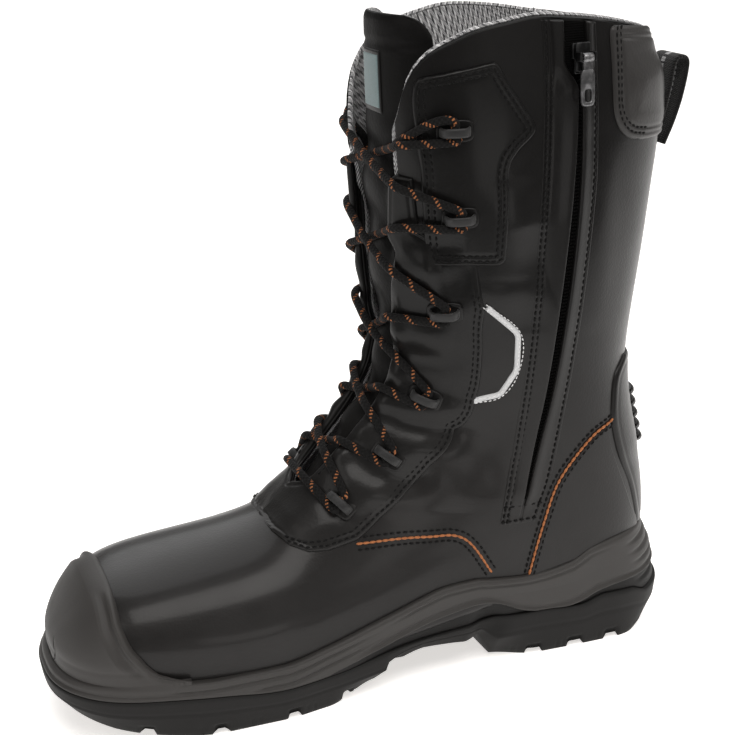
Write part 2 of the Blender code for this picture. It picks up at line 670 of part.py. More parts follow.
def stacked(maker, name, rings, colour=None):
    """Solid through rings from the bottom up, closed across its width at both ends."""
    shape = bmesh.new()
    count = len(rings[0])
    spots = [[shape.verts.new(boot_space(p)) for p in ring] for ring in rings]
    for lower, upper in zip(spots, spots[1:]):
        for i in range(count):
            j = (i + 1) % count
            shape.faces.new((lower[j], lower[i], upper[i], upper[j]))
    half = count // 2
    for ring, flip in ((spots[0], False), (spots[-1], True)):
        for i in range(half):
            face = [ring[i], ring[i + 1], ring[-i - 1], ring[-i]]
            face = list(dict.fromkeys(face))
            shape.faces.new(face[::-1] if flip else face)
    bmesh.ops.recalc_face_normals(shape, faces=shape.faces)
    bmesh.ops.triangulate(shape, faces=shape.faces, quad_method="SHORT_EDGE")
    return maker.add(name, maker.finish_mesh(name, shape), colour)


def ground(x):
    """Height of the sole's underside."""
    return column(SOLE_ROWS, x, 5)


def wave(x):
    """Height of the line between outsole and midsole on the side."""
    return column(SOLE_ROWS, x, 6)


def rim(x):
    """Height of the midsole's rim."""
    return column(SOLE_ROWS, x, 7)


def core(x):
    """Height of the join between outsole and midsole inside the side walls."""
    return np.minimum(wave(x) - 1.0, np.maximum(bed_level(x) - 5.5, ground(x) + 4.0))


def tread_inset(x):
    """How far the tread's edge lies inside the sole's side."""
    return 2.6 + 5.4 * smooth_step((x - 255.0) / 50.0) + 1.2 * smooth_step((20.0 - x) / 20.0)


def make_outsole(maker):
    """Rubber tread with heel, arch, toe spring and lugs."""
    def low_side(x):
        return ground(x) + 0.55 * (wave(x) - ground(x))

    rings = [
        sole_ring(1, tread_inset, ground),
        sole_ring(1, 0.9, low_side),
        sole_ring(1, 0.0, wave),
        sole_ring(1, 5.5, core),
    ]
    outsole = stacked(maker, "outsole", rings, "outsole")
    for number, (x, width, slant, inner) in enumerate(GROOVE_ROWS):
        for side, label in ((1, "medial"), (-1, "lateral")):
            groove = maker.box("groove_%s_%d" % (label, number + 1), (width, 60.0, 20.0))
            turn = math.radians(slant) * -side
            level = ground(x) + GROOVE_DEPTH - 10.0
            groove.location = boot_space((x - math.sin(turn) * side * 30.0, side * (inner + 30.0), level))
            groove.rotation_euler = (0.0, 0.0, turn)
            maker.cut(outsole, groove)
    return outsole


def make_midsole(maker):
    """Moulded cup under and round the upper, on the outsole."""
    def part_way(share):
        return lambda x: wave(x) + GAP + share * (rim(x) - wave(x) - GAP)

    rings = [
        sole_ring(1, 5.7, lambda x: core(x) + GAP + 0.1),
        sole_ring(1, 0.6, part_way(0.0)),
        0.55 * sole_ring(1, 0.2, part_way(0.55)) + 0.45 * sole_ring(3, 0.2, part_way(0.55), True),
        sole_ring(3, 0.0, part_way(0.90), True),
        sole_ring(3, 0.9, part_way(1.0), True),
    ]
    midsole = stacked(maker, "midsole", rings, "sole")
    return maker.cut(midsole, make_foot_form(maker))


def make_foot_form(maker):
    """Closed form of the foot and ankle, a gap larger than the upper."""
    last = maker.last
    low = wall_rows(13.0)
    start = throat_edge(last, low)
    stop = last.around_seat(low, wall_seat)
    wall = start[:, None] + (stop - start)[:, None] * wall_columns()[None, :]
    wall = np.hstack([np.zeros((len(low), 1)), wall])
    share = np.array([0.93, 0.8, 0.45, 0.0])
    grids = []
    for side in (1, -1):
        half = np.abs(last.surface(low, stop * side)[:, 1])
        floor = last.around_below(low[:, None], half[:, None] * share[None, :], side)
        floor = np.where(stop[:, None] >= 1.0, 1.0, np.maximum(floor, stop[:, None]))
        around = np.hstack([wall, floor])
        grids.append((last.point(low[:, None], around * side, GAP), side < 0))
    form = maker.sheet("foot_form", grids)
    return maker.close(form)


def make_heel_strip(maker):
    """Raised strip up the back of the heel, with ribs to kick the boot off."""
    strip = maker.back_panel("heel_strip", STRIP_ROWS, 7, "panel", STRIP_THICK, STRIP_LIFT)
    for number, z in enumerate(RIB_ROWS):
        half = np.array([-1.0, -0.4, 0.4, 1.0]) * RIB_HALF_WIDTH
        along = maker.last.back_section(np.full(4, z))
        around = maker.last.around_below(along, np.abs(half), 1) * np.where(half < 0, -1.0, 1.0)
        points = maker.last.point(along, around, STRIP_LIFT + STRIP_THICK)
        rib = maker.as_mesh(maker.tube("rib_%d" % (number + 1), points, RIB_RADIUS))
        maker.cut(strip, rib, "UNION")
    return strip


def side_frame(last, x, z, side, slope):
    """Place on the side with its outward, upward and forward directions."""
    along, around = last.locate(x, z)
    around = around * side
    out = Vector(last.normal(along, around))
    up = Vector((math.cos(math.radians(slope)), 0.0, math.sin(math.radians(slope))))
    up = (up - out * up.dot(out)).normalized()
    ahead = up.cross(out) * side
    return along, around, out, up, ahead


def loop_base(number):
    """Lift of a lace loop's underside: the upper ones stand on the eyestay."""
    stack = PANEL_LIFT + PANEL_THICK if number >= 4 else FACING_LIFT + FACING_THICK
    return stack + 0.7


def make_lace_loops(maker):
    """Flat bands that hold the lace, each a short tunnel along the throat."""
    length, height, band = LOOP_LENGTH / 2.0, LOOP_HEIGHT, LOOP_BAND
    bevel = 2.0

    def ring(inset):
        a, low, high, c = length - inset, inset, height - inset, max(bevel - inset, 0.8)
        return [(a, low), (a, high - c), (a - c, high), (c - a, high), (-a, high - c), (-a, low)]

    for side, label in ((1, "medial"), (-1, "lateral")):
        for number, (x, z, slope, over, under) in enumerate(LOOP_ROWS):
            along, around, out, up, ahead = side_frame(maker.last, x, z, side, slope)
            name = "lace_loop_%s_%d" % (label, number + 1)
            loop = maker.outline(name, [ring(0.0), ring(band)], LOOP_WIDTH / 2.0, "loop")
            base = maker.last.point(along, around, loop_base(number))
            placed(loop, base, ahead, out, ahead.cross(out))


def loop_mouth(maker, number, side, upper_end):
    """Where the lace leaves a loop: section number, share round and lift."""
    x, z, slope, over, under = LOOP_ROWS[number]
    reach = LOOP_WIDTH / 2.0 + over if upper_end else -LOOP_WIDTH / 2.0 - under
    slope = math.radians(slope)
    along, around = maker.last.locate(x + math.cos(slope) * reach, z + math.sin(slope) * reach)
    return float(along), float(around) * side, loop_base(number) + LOOP_HEIGHT / 2.0


def lace_run(maker, name, start, stop, bulge, colour=None):
    """One strand of lace from mouth to mouth, straight across the throat between its edges."""
    last = maker.last
    share = np.linspace(0.0, 1.0, 401)
    along = start[0] + (stop[0] - start[0]) * share
    ends = [last.surface(end[0], end[1])[1] for end in (start, stop)]
    half_width = ends[0] + (ends[1] - ends[0]) * share
    inside = np.nonzero(np.abs(half_width) < column(THROAT_ROWS, along, 1))[0]
    turns = np.array([inside[0] // 2, inside[0], inside[-1], (inside[-1] + 400) // 2])
    around = last.around_at(along[turns], np.abs(half_width[turns])) * np.sign(half_width[turns])
    over = last.point(along[turns], around, np.full(4, LACE_OVER_EDGE))
    out = last.normal(along[turns[1:3]], around[1:3]).sum(0)
    out /= np.linalg.norm(out)
    across = np.array([[0.0], [0.35], [0.65], [1.0]])
    straight = over[1] + (over[2] - over[1]) * across + out * bulge * np.sin(math.pi * across)
    points = np.vstack([last.point(*start), over[0], straight, over[3], last.point(*stop)])
    return maker.tube(name, points, LACE_RADIUS, colour)


def make_lace(maker):
    """Bar at the bottom and crossings between the loops."""
    ends = [loop_mouth(maker, 0, side, False) for side in (1, -1)]
    lace_run(maker, "lace_bar", ends[0], ends[1], 0.4, "cord")
    for number in range(len(LOOP_ROWS) - 1):
        strands = []
        for side, label in ((1, "lace_cross_%d" % (number + 1)), (-1, "lace_under_%d" % (number + 1))):
            start = loop_mouth(maker, number, side, True)
            stop = loop_mouth(maker, number + 1, -side, False)
            bulge = 1.0 + LACE_RADIUS * (side + 1) * 0.4
            colour = "cord" if side > 0 else None
            strands.append(maker.as_mesh(lace_run(maker, label, start, stop, bulge, colour)))
        maker.cut(strands[0], strands[1], "UNION")


def zip_edge(offset):
    """Side points beside the zip line, by millimetres forward of it."""
    table = np.array(ZIP_ROWS, float)
    run = np.gradient(table, axis=0)
    run /= np.linalg.norm(run, axis=1, keepdims=True)
    ahead = np.stack([run[:, 1], -run[:, 0]], 1)
    return table + ahead * np.broadcast_to(offset, (len(table),))[:, None]


def make_zip(maker):
    """Flaps, chain, slider and hinged pull tab of the side zip."""
    count = len(ZIP_ROWS)
    front = np.linspace(FRONT_FLAP_WIDTH[0], FRONT_FLAP_WIDTH[1], count)
    back = np.linspace(BACK_FLAP_WIDTH[0], BACK_FLAP_WIDTH[1], count)
    flap = np.hstack([zip_edge(FLAP_CLEAR + front), zip_edge(FLAP_CLEAR)])
    maker.panel("zip_flap_front", flap, 4, "panel", PANEL_THICK)
    flap = np.hstack([zip_edge(-FLAP_CLEAR), zip_edge(-FLAP_CLEAR - back)])
    maker.panel("zip_flap_back", flap, 3, "panel", PANEL_THICK)
    chain = np.hstack([zip_edge(CHAIN_WIDTH / 2.0), zip_edge(-CHAIN_WIDTH / 2.0)])
    maker.panel("zip_chain", chain, 2, "zip", CHAIN_THICK)
    make_zip_slider(maker)


def make_zip_slider(maker):
    """Slider at the top of the chain, and its pull tab on a pin."""
    x, z = 75.9, 285.0
    along, around, out, up, ahead = side_frame(maker.last, x, z, 1, 90.0)
    width, thick, length = SLIDER_SIZE
    foot = GAP + CHAIN_THICK + GAP
    top = foot + thick

    def set_at(piece, lift, rise=0.0):
        spot = Vector(maker.last.point(along, around, lift)) + up * rise
        return placed(piece, spot, ahead, out, ahead.cross(out))

    slider = set_at(maker.box("zip_slider", (width, thick, length), "zip"), foot + thick / 2.0)
    ear_gap = TAB_WIDTH / 2.0 + 0.45
    ear_thick = 1.0
    for label, place in (("front", ear_gap + ear_thick / 2.0), ("back", -ear_gap - ear_thick / 2.0)):
        ear = maker.box("ear_" + label, (ear_thick, PIN_LIFT + 1.6 - top + 1.0, 4.0))
        spot = Vector(maker.last.point(along, around, (PIN_LIFT + 1.6 + top - 1.0) / 2.0)) + ahead * place
        placed(ear, spot, ahead, out, ahead.cross(out))
        maker.cut(slider, ear, "UNION")
    centre = Vector(maker.last.point(along, around, PIN_LIFT))
    pin_half = ear_gap + ear_thick * 0.5
    ends = [centre - ahead * pin_half, centre + ahead * pin_half]
    pin = maker.as_mesh(maker.tube("pin", ends, PIN_RADIUS, None, 2))
    maker.cut(slider, pin, "UNION")

    eye, bore, half = 2.0, PIN_RADIUS + 0.35, TAB_THICK / 2.0
    turns = [math.radians(30.0 * k) for k in range(12)]
    hole = [(bore * math.cos(a), bore * math.sin(a)) for a in turns]
    head = [(eye * math.cos(a), eye * math.sin(a)) for a in turns[0:7]]
    neck = half * 1.15
    plate = [(-neck, -eye - 1.0), (-half, -TAB_LENGTH), (half, -TAB_LENGTH), (neck, -eye - 1.0)]
    tab = maker.outline("zip_pull", [head + plate, hole], TAB_WIDTH / 2.0, "zip")
    placed(tab, centre, out, up, out.cross(up))
    print("zip_pull hinge at", tuple(boot_space(centre)), "axis", tuple(ahead))


def make_trim(maker):
    """Bent reflective strip on each side of the shaft."""
    path = np.array(TRIM_ROWS, float)
    run = np.diff(path, axis=0)
    run /= np.linalg.norm(run, axis=1, keepdims=True)
    left = np.stack([-run[:, 1], run[:, 0]], 1)
    left = np.vstack([left[0:1], left[:-1] + left[1:], left[-1:]])
    square = (left ** 2).sum(1, keepdims=True)
    left = np.where(square > 1.01, 2.0 * left / square, left)
    edges = np.hstack([path - left * TRIM_WIDTH / 2.0, path + left * TRIM_WIDTH / 2.0])
    middles = 0.5 * (edges[:-1] + edges[1:])
    fine = np.insert(edges, range(1, len(edges)), middles, axis=0)
    for side, label in ((1, "medial"), (-1, "lateral")):
        maker.panel("trim_" + label, fine, 2, "trim", TRIM_THICK, (side,))


def make_pull_loop(maker):
    """Folded webbing loop on the back of the collar."""
    outer = np.array(PULL_LOOP_ROWS, float)
    ahead = np.roll(outer, -1, axis=0) - np.roll(outer, 1, axis=0)
    ahead /= np.linalg.norm(ahead, axis=1, keepdims=True)
    inwards = np.stack([-ahead[:, 1], ahead[:, 0]], 1)
    turning = np.cross(outer[:-1], outer[1:]).sum() + np.cross(outer[-1], outer[0])
    inwards *= np.sign(turning)
    inner = outer + inwards * PULL_LOOP_BAND
    loop = maker.outline("pull_loop", [outer.tolist(), inner[2:-1].tolist()], PULL_LOOP_HALF_WIDTH, "panel")
    placed(loop, (0.0, 0.0, 0.0), Vector((1, 0, 0)), Vector((0, 0, 1)), Vector((0, -1, 0)))
    return loop


def main():
    clear_scene()
    maker = Maker(Last())
    make_outsole(maker)
    make_midsole(maker)
    make_insole(maker)
    make_upper(maker)
    make_tongue(maker)
    make_toe_cap(maker)
    make_facing(maker)
    for side, label in ((1, "medial"), (-1, "lateral")):
        maker.panel("eyestay_" + label, EYESTAY_ROWS, 5, "panel", PANEL_THICK, (side,))
        maker.panel("counter_" + label, COUNTER_ROWS, 6, "panel", PANEL_THICK, (side,), COUNTER_LIFT)
    make_heel_strip(maker)
    maker.back_panel("collar_pad", PAD_ROWS, 7, "panel", PAD_THICK)
    make_pull_loop(maker)
    make_lace_loops(maker)
    make_lace(maker)
    make_zip(maker)
    make_trim(maker)


main()
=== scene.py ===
"""Looks of the tall safety boot: leather, moulded rubber, lace, side zip and sewing.

Tables are in millimetres from the back of the heel: x runs to the toe, y to the inner
side of the foot and z up from the floor. Pieces are made in metres in the part's frame.
"""
import math

import bmesh
import bpy
import numpy as np
from mathutils import Matrix, Vector


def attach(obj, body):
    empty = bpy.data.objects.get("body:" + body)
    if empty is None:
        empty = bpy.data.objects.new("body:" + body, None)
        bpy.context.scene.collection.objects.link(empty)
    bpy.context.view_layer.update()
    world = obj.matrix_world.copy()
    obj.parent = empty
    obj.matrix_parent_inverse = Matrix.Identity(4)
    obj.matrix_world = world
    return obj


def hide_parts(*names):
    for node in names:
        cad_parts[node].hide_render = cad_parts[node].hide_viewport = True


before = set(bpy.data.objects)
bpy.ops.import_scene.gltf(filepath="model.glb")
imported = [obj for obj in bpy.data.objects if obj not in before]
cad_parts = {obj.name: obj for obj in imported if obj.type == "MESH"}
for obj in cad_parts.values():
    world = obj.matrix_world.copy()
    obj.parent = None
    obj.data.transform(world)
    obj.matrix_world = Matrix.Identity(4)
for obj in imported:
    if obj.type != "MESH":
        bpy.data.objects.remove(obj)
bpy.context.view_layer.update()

bl_info = {
    "name": "Safety boot",
    "version": (1, 0, 0),
    "blender": (4, 5, 0),
    "location": "View3D > Sidebar > Boot",
    "description": "Dresses a packed safety boot in leather, rubber, lace, zip and stitches",
    "category": "Object",
}

MM = 0.001
WARM_WHITE = (1.0, 0.97, 0.94)
BORDERS = ("start", "stop", "first", "last")
PANEL_BASE = -0.4
CREASE_STRENGTH = 1.3
HEEL_SETBACK = 60.0
SIDES = ((1, "medial"), (-1, "lateral"))

# Shape tables

# Sections of the last, fanned from the toe round the instep and up the shaft: sole or
# back point, ridge point, half widths, widest share and powers of the curves.
LAST_ROWS = (
    (303.0, 36.0, 303.0, 36.0, 0.0, 0.0, 0.45, 2.40, 2.30),
    (299.5, 25.5, 299.5, 48.0, 22.0, 20.0, 0.45, 2.60, 2.30),
    (289.0, 22.5, 289.0, 62.8, 37.0, 35.0, 0.36, 3.20, 2.35),
    (270.0, 20.5, 271.0, 69.3, 44.5, 45.5, 0.28, 4.00, 2.35),
    (244.0, 18.5, 246.0, 72.8, 47.5, 51.0, 0.24, 4.50, 2.20),
    (212.0, 18.0, 217.0, 77.0, 48.0, 53.5, 0.22, 5.00, 2.05),
    (178.0, 20.0, 200.5, 85.0, 45.0, 51.0, 0.22, 5.00, 1.95),
    (142.0, 22.5, 186.5, 99.0, 42.0, 47.0, 0.22, 5.00, 1.90),
    (104.0, 25.5, 172.5, 116.0, 40.5, 43.5, 0.23, 4.80, 1.90),
    (64.0, 27.5, 160.5, 133.0, 40.0, 41.5, 0.27, 4.20, 1.95),
    (26.0, 31.0, 153.5, 149.0, 39.5, 40.0, 0.33, 3.00, 2.05),
    (15.0, 60.0, 152.0, 163.5, 40.0, 40.0, 0.38, 2.40, 2.15),
    (19.0, 94.0, 153.0, 178.0, 41.5, 41.5, 0.42, 2.20, 2.25),
    (25.5, 127.0, 154.5, 195.0, 43.5, 43.5, 0.44, 2.15, 2.30),
    (24.0, 160.0, 156.0, 212.0, 45.5, 45.5, 0.45, 2.15, 2.35),
    (19.5, 193.0, 157.5, 230.0, 47.0, 47.0, 0.46, 2.15, 2.40),
    (15.5, 226.0, 159.5, 250.0, 48.0, 48.0, 0.47, 2.15, 2.40),
    (13.5, 258.0, 161.5, 271.0, 48.0, 48.0, 0.47, 2.15, 2.40),
    (21.5, 290.0, 163.5, 292.0, 47.0, 47.0, 0.47, 2.15, 2.40),
    (31.0, 320.0, 166.0, 313.0, 46.0, 46.0, 0.47, 2.15, 2.40),
)
THROAT_ROWS = (
    (6.60, 0.0), (6.80, 6.5), (7.10, 9.5), (8.50, 12.0), (10.0, 14.0), (11.5, 16.5),
    (12.75, 20.0), (14.0, 25.0), (15.2, 28.0), (16.0, 30.3), (17.0, 30.8), (19.0, 31.0),
)
TOP_FROM = 15.0
COLLAR_ROWS = (
    (10.0, 288.0), (22.0, 290.0), (38.0, 294.0), (58.0, 298.2), (76.0, 300.8), (94.0, 302.0),
    (111.0, 299.5), (122.0, 297.0), (131.0, 293.0), (139.0, 288.5), (145.5, 281.0),
    (148.8, 272.0), (150.5, 262.0), (166.0, 200.0),
)
UPPER_SEAT = 3.0

# Soft troughs (below zero) and ridges in the leather: side, half width, depth and the
# line each follows seen from the side.
CREASE_ROWS = (
    (1, 12.0, 1.6, ((124.0, 186.0), (108.0, 183.0), (96.0, 184.0), (86.0, 188.0))),
    (0, 5.0, -1.5, ((158.0, 128.0), (146.0, 122.0), (132.0, 119.0), (121.0, 121.0))),
    (0, 6.5, 1.2, ((152.0, 137.0), (140.0, 130.5), (124.0, 129.0), (113.0, 134.0))),
    (0, 6.0, 1.0, ((160.0, 119.0), (146.0, 111.5), (130.0, 109.0), (117.0, 110.0))),
    (0, 4.5, -1.2, ((170.0, 108.0), (160.0, 101.0), (146.0, 97.0), (134.0, 97.5))),
    (0, 5.5, 0.9, ((178.0, 103.0), (168.0, 94.0), (154.0, 90.0), (143.0, 90.0))),
    (0, 4.0, -0.9, ((188.0, 93.0), (178.0, 84.0), (166.0, 81.0))),
    (0, 6.0, -1.4, ((152.0, 160.0), (142.0, 155.0), (130.0, 153.0), (118.0, 157.0))),
    (0, 6.5, 1.2, ((150.0, 170.0), (140.0, 166.0), (126.0, 165.0))),
    (0, 6.0, 1.0, ((148.0, 192.0), (138.0, 196.0), (124.0, 199.0))),
    (0, 5.0, -0.8, ((146.0, 206.0), (136.0, 207.0), (124.0, 206.0))),
    (0, 12.0, 1.3, ((104.0, 236.0), (103.0, 214.0), (105.0, 190.0))),
    (0, 10.0, -1.1, ((97.0, 214.0), (96.0, 190.0), (97.0, 165.0))),
    (1, 9.0, 0.9, ((62.0, 250.0), (60.0, 220.0), (60.0, 190.0), (62.0, 160.0))),
    (0, 9.0, -1.0, ((100.0, 128.0), (110.0, 108.0), (116.0, 88.0))),
    (0, 11.0, 1.0, ((118.0, 120.0), (128.0, 100.0), (130.0, 82.0))),
    (-1, 8.0, -1.0, ((60.0, 165.0), (76.0, 150.0), (92.0, 146.0), (104.0, 150.0))),
    (-1, 9.0, 1.0, ((58.0, 182.0), (76.0, 168.0), (94.0, 164.0), (108.0, 168.0))),
    (-1, 10.0, 0.9, ((70.0, 262.0), (72.0, 235.0), (76.0, 205.0))),
    (0, 10.0, -0.25, ((205.0, 74.0), (196.0, 60.0), (190.0, 46.0))),
    (0, 12.0, 0.25, ((220.0, 72.0), (212.0, 58.0), (206.0, 44.0))),
)

# Sole: half widths of its side and of its rim, underside, line between outsole and
# midsole, and rim, along its length.
SOLE_ROWS = (
    (0.0, 39.0, 39.0, 41.0, 41.0, 7.0, 21.0, 56.0),
    (20.0, 39.2, 39.2, 41.0, 41.2, 1.2, 21.0, 55.8),
    (32.0, 39.4, 39.6, 41.0, 41.5, 0.0, 25.0, 55.2),
    (47.0, 39.5, 40.2, 41.4, 42.0, 0.0, 25.5, 52.8),
    (60.0, 39.5, 40.8, 42.0, 42.8, 0.0, 22.4, 47.2),
    (82.0, 39.0, 42.0, 42.6, 44.4, 0.0, 23.5, 44.6),
    (104.0, 39.4, 43.6, 43.2, 46.2, 0.0, 23.6, 46.4),
    (112.0, 39.6, 44.6, 43.2, 47.0, 12.5, 23.0, 47.5),
    (127.0, 40.2, 46.8, 43.6, 48.8, 15.0, 22.4, 47.0),
    (143.0, 41.0, 49.4, 44.6, 50.6, 16.2, 21.6, 43.4),
    (152.0, 41.8, 50.8, 45.3, 51.6, 14.5, 20.8, 40.8),
    (161.5, 43.0, 52.2, 46.1, 52.8, 8.0, 19.6, 38.4),
    (163.0, 43.2, 52.4, 46.2, 53.0, 0.0, 19.3, 38.0),
    (190.0, 47.4, 56.0, 49.0, 56.0, 0.0, 16.2, 31.6),
    (215.0, 51.0, 57.0, 51.0, 56.8, 0.0, 15.8, 27.6),
    (244.0, 51.0, 56.0, 51.0, 55.6, 0.0, 19.0, 27.4),
    (266.0, 51.0, 56.0, 51.0, 55.6, 2.6, 21.0, 28.6),
    (290.0, 51.0, 56.0, 51.0, 55.6, 5.4, 22.0, 29.6),
    (311.0, 51.0, 56.0, 51.0, 55.6, 11.5, 24.0, 30.6),
)
SOLE_LENGTH = 311.0
HEEL_ROUND = 42.0
TOE_ROUND = 235.0
TOE_TIP_Y = 2.0
RIM_BACK = 11.0
RIM_FRONT = 306.5
GROOVE_DEPTH = 2.6
GROOVE_ROWS = (
    (37.0, 7.0, 14.0, 15.0), (58.5, 8.0, 10.0, 15.0), (82.0, 8.0, 6.0, 15.0),
    (188.0, 6.0, -12.0, 12.0), (214.5, 6.0, -8.0, 12.0), (241.0, 6.0, 4.0, 12.0), (266.0, 6.0, 16.0, 12.0),
)
WAVE_ROWS = (
    (0.0, 31.5), (20.0, 31.5), (30.0, 31.3), (41.0, 30.4), (47.0, 29.2), (52.0, 28.0), (57.0, 25.8),
    (61.5, 24.2),
    (68.0, 22.9), (76.0, 22.8), (84.0, 23.5), (93.0, 26.5), (99.0, 29.8), (105.0, 32.6), (110.0, 33.8),
    (115.0, 34.0),
    (120.0, 33.6), (125.0, 32.8), (137.0, 30.8), (150.0, 27.6), (163.0, 24.0), (176.0, 21.0), (190.0, 18.0),
    (205.0, 12.0),
    (320.0, 4.0),
)

TOE_CAP_ROWS = (
    (0.0, 2.43), (0.60, 2.43), (0.71, 2.50), (0.775, 2.59), (0.845, 2.76), (0.91, 2.92), (0.95, 3.07),
    (0.967, 3.22), (0.985, 3.40), (1.0, 3.60)
)
TOE_CAP_SEAT = 29.6
TOE_CAP_PROFILE = (
    (0.0, -0.3), (0.4, 1.4), (1.0, 2.7), (1.8, 3.3), (2.8, 3.1), (3.8, 2.2), (4.8, 1.9), (5.8, 2.3),
    (7.0, 3.2), (8.4, 3.6), (10.0, 3.4), (13.0, 3.3), (60.0, 3.6),
)

FACING_ROWS = (
    (5.41, 0.040), (5.47, 0.105), (5.71, 0.176), (6.04, 0.213), (6.42, 0.224), (6.99, 0.219),
    (7.54, 0.187), (8.20, 0.160), (8.92, 0.139), (9.89, 0.123), (10.87, 0.158), (12.22, 0.231),
    (13.15, 0.272), (14.10, 0.266), (14.20, 0.225), (14.29, 0.185), (14.37, 0.152), (15.0, 0.152),
    (16.0, 0.150), (16.9, 0.150),
)
EYESTAY_ROWS = (
    (136.5, 198.5, 110.5, 198.0), (138.5, 202.5, 107.4, 200.0), (139.5, 208.0, 106.8, 205.0),
    (141.0, 227.0, 106.6, 224.0), (142.0, 240.0, 106.6, 240.0), (143.2, 249.0, 103.0, 247.5),
    (144.2, 258.0, 95.4, 256.0), (145.0, 264.0, 100.5, 265.5), (145.4, 271.0, 107.0, 275.0),
    (144.4, 277.5, 112.0, 283.5), (141.0, 279.5, 114.5, 285.0),
)
COUNTER_ROWS = (
    (90.0, 43.5, 26.5, 55.0), (88.0, 49.0, 28.5, 60.5), (85.5, 58.0, 33.0, 68.0), (81.6, 70.7, 37.0, 77.0),
    (78.5, 80.0, 41.0, 86.0), (74.2, 89.8, 44.5, 94.0), (67.5, 99.0, 47.5, 101.5), (59.6, 107.5, 49.3, 109.5),
    (53.0, 111.5, 49.6, 113.0),
)
VAMP_SEAM_ROWS = ((172.0, 72.6), (153.0, 72.6), (139.0, 71.6), (127.0, 70.4), (119.0, 64.8), (110.0, 50.7))
COUNTER_SEAM_ROWS = ((47.0, 114.6), (59.6, 108.6), (74.2, 90.6), (81.8, 71.2), (86.2, 57.5), (89.4, 46.0))

ZIP_ROWS = (
    (95.0, 70.0), (91.5, 84.0), (88.2, 100.0), (85.3, 116.0), (82.8, 131.0), (80.8, 147.0), (79.0, 165.0),
    (77.4, 183.0), (76.0, 203.0), (75.0, 224.0), (74.6, 245.0), (74.8, 264.0), (75.6, 280.0), (76.4, 297.0),
)
ZIP_SEW_FRONT_ROWS = (
    (102.6, 70.0), (98.0, 92.0), (94.4, 112.0), (92.0, 140.0), (90.7, 166.0), (89.9, 190.0), (89.5, 216.0),
    (89.0, 240.0), (89.0, 260.0), (89.7, 284.0), (90.8, 297.0),
)
ZIP_SEW_BACK_ROWS = (
    (89.6, 70.0), (85.4, 80.0), (81.7, 90.6), (75.5, 130.0), (71.0, 168.0), (68.6, 205.0), (67.2, 236.0),
    (67.4, 260.0), (68.4, 279.0), (69.0, 297.0),
)
ZIP_FOOT, ZIP_HEAD = 71.0, 296.5
TRIM_ROWS = ((114.6, 179.6), (98.9, 165.0), (98.3, 147.5), (104.8, 135.6), (117.0, 132.8))

PAD_ROWS = (
    (40.0, 246.0, 244.5), (47.5, 248.0, 247.0), (53.0, 252.5, 251.5), (56.2, 259.5, 258.0),
    (57.2, 270.0, 267.0), (57.8, 282.0, 278.0), (58.4, 292.0, 286.5), (57.6, 295.6, 289.6),
    (55.0, 296.6, 290.6),
)
STRIP_ROWS = (
    (25.8, 55.0, 54.0), (33.5, 78.0, 75.0), (42.0, 96.0, 92.0), (46.5, 112.0, 106.0),
    (46.6, 125.0, 120.0), (44.0, 136.0, 133.0), (36.0, 143.0, 143.0),
)
RIB_ROWS = (92.5, 98.7, 105.0, 111.2, 117.5)
TONGUE_ROWS = (
    (5.7, 11.0, 4.8), (6.4, 19.0, 5.1), (7.2, 22.0, 5.4), (8.5, 23.0, 5.4), (10.0, 24.0, 5.6),
    (11.5, 26.0, 5.9), (12.75, 29.0, 6.5), (14.0, 32.0, 7.6), (15.2, 35.0, 9.0), (16.2, 37.0, 10.2),
    (17.2, 38.5, 11.4), (18.0, 38.5, 12.6),
    (18.2, 37.6, 13.0), (18.34, 35.6, 13.3), (18.42, 32.6, 13.4), (18.45, 29.5, 13.4),
)
LOOP_ROWS = (
    (177.4, 88.8, 135.0), (153.9, 108.5, 128.0), (135.6, 135.2, 114.0),
    (130.3, 177.4, 88.0), (126.7, 219.8, 87.0), (129.6, 257.2, 88.0),
)
LOOP_WIDTH = 5.0
LACE_OVER_EDGE = 5.2
# Scale and height of the rings of a lace loop's plate
LOOP_PLATE_ROWS = ((1.0, -1.9), (1.0, -0.25), (0.95, 0.1), (0.86, 0.2), (0.5, 0.12), (0.05, 0.1))
# Middle line of a lace loop's arch: along the plate, and out from it
LOOP_ARCH_ROWS = (
    (-6.2, -0.7), (-6.0, 0.9), (-5.6, 2.5), (-4.7, 3.9), (-3.1, 4.75), (0.0, 5.05),
    (3.1, 4.75), (4.7, 3.9), (5.6, 2.5), (6.0, 0.9), (6.2, -0.7),
)
# Radius and half width of the rings of the pull tab's eye
PULL_EYE_ROWS = (
    (1.15, 1.6), (1.15, 2.3), (1.5, 2.5), (2.0, 2.3), (2.0, 0.0),
    (2.0, -2.3), (1.5, -2.5), (1.15, -2.3), (1.15, -1.6), (1.15, 1.6),
)
# Places of the fine cuts along the outsole's edge
SIPE_ROWS = (
    24.0, 27.2, 46.4, 49.6, 69.0, 72.2, 92.0, 95.2, 176.0, 199.5, 203.0, 226.0, 229.5, 252.0, 255.5, 279.0,
    282.5,
)
PULL_LOOP_ROWS = (
    (15.6, 230.5), (15.2, 238.6), (11.2, 243.0), (8.2, 252.0), (5.8, 263.0), (3.9, 273.2), (1.5, 275.6),
    (-1.4, 273.4), (0.8, 260.0), (4.6, 248.0), (9.4, 237.0),
)
SLIDER_SPOT = (75.9, 285.0)
PIN_LIFT = 7.6

# Camera of the product shot: aim point, turn, rise, distance, roll and focal length in pixels.
SHOT_AIM = (154.1, 0.0, 143.3)
SHOT_TURN, SHOT_RISE, SHOT_ROLL = 20.8, 18.7, -0.8
SHOT_DISTANCE = 708.1
SHOT_FOCUS = 1544.4
SHOT_PIXELS = 735


# User's sizes and colours

def length_setting(name, description, default):
    """Setting for a length in metres."""
    return bpy.props.FloatProperty(name=name, description=description, default=default, unit="LENGTH")


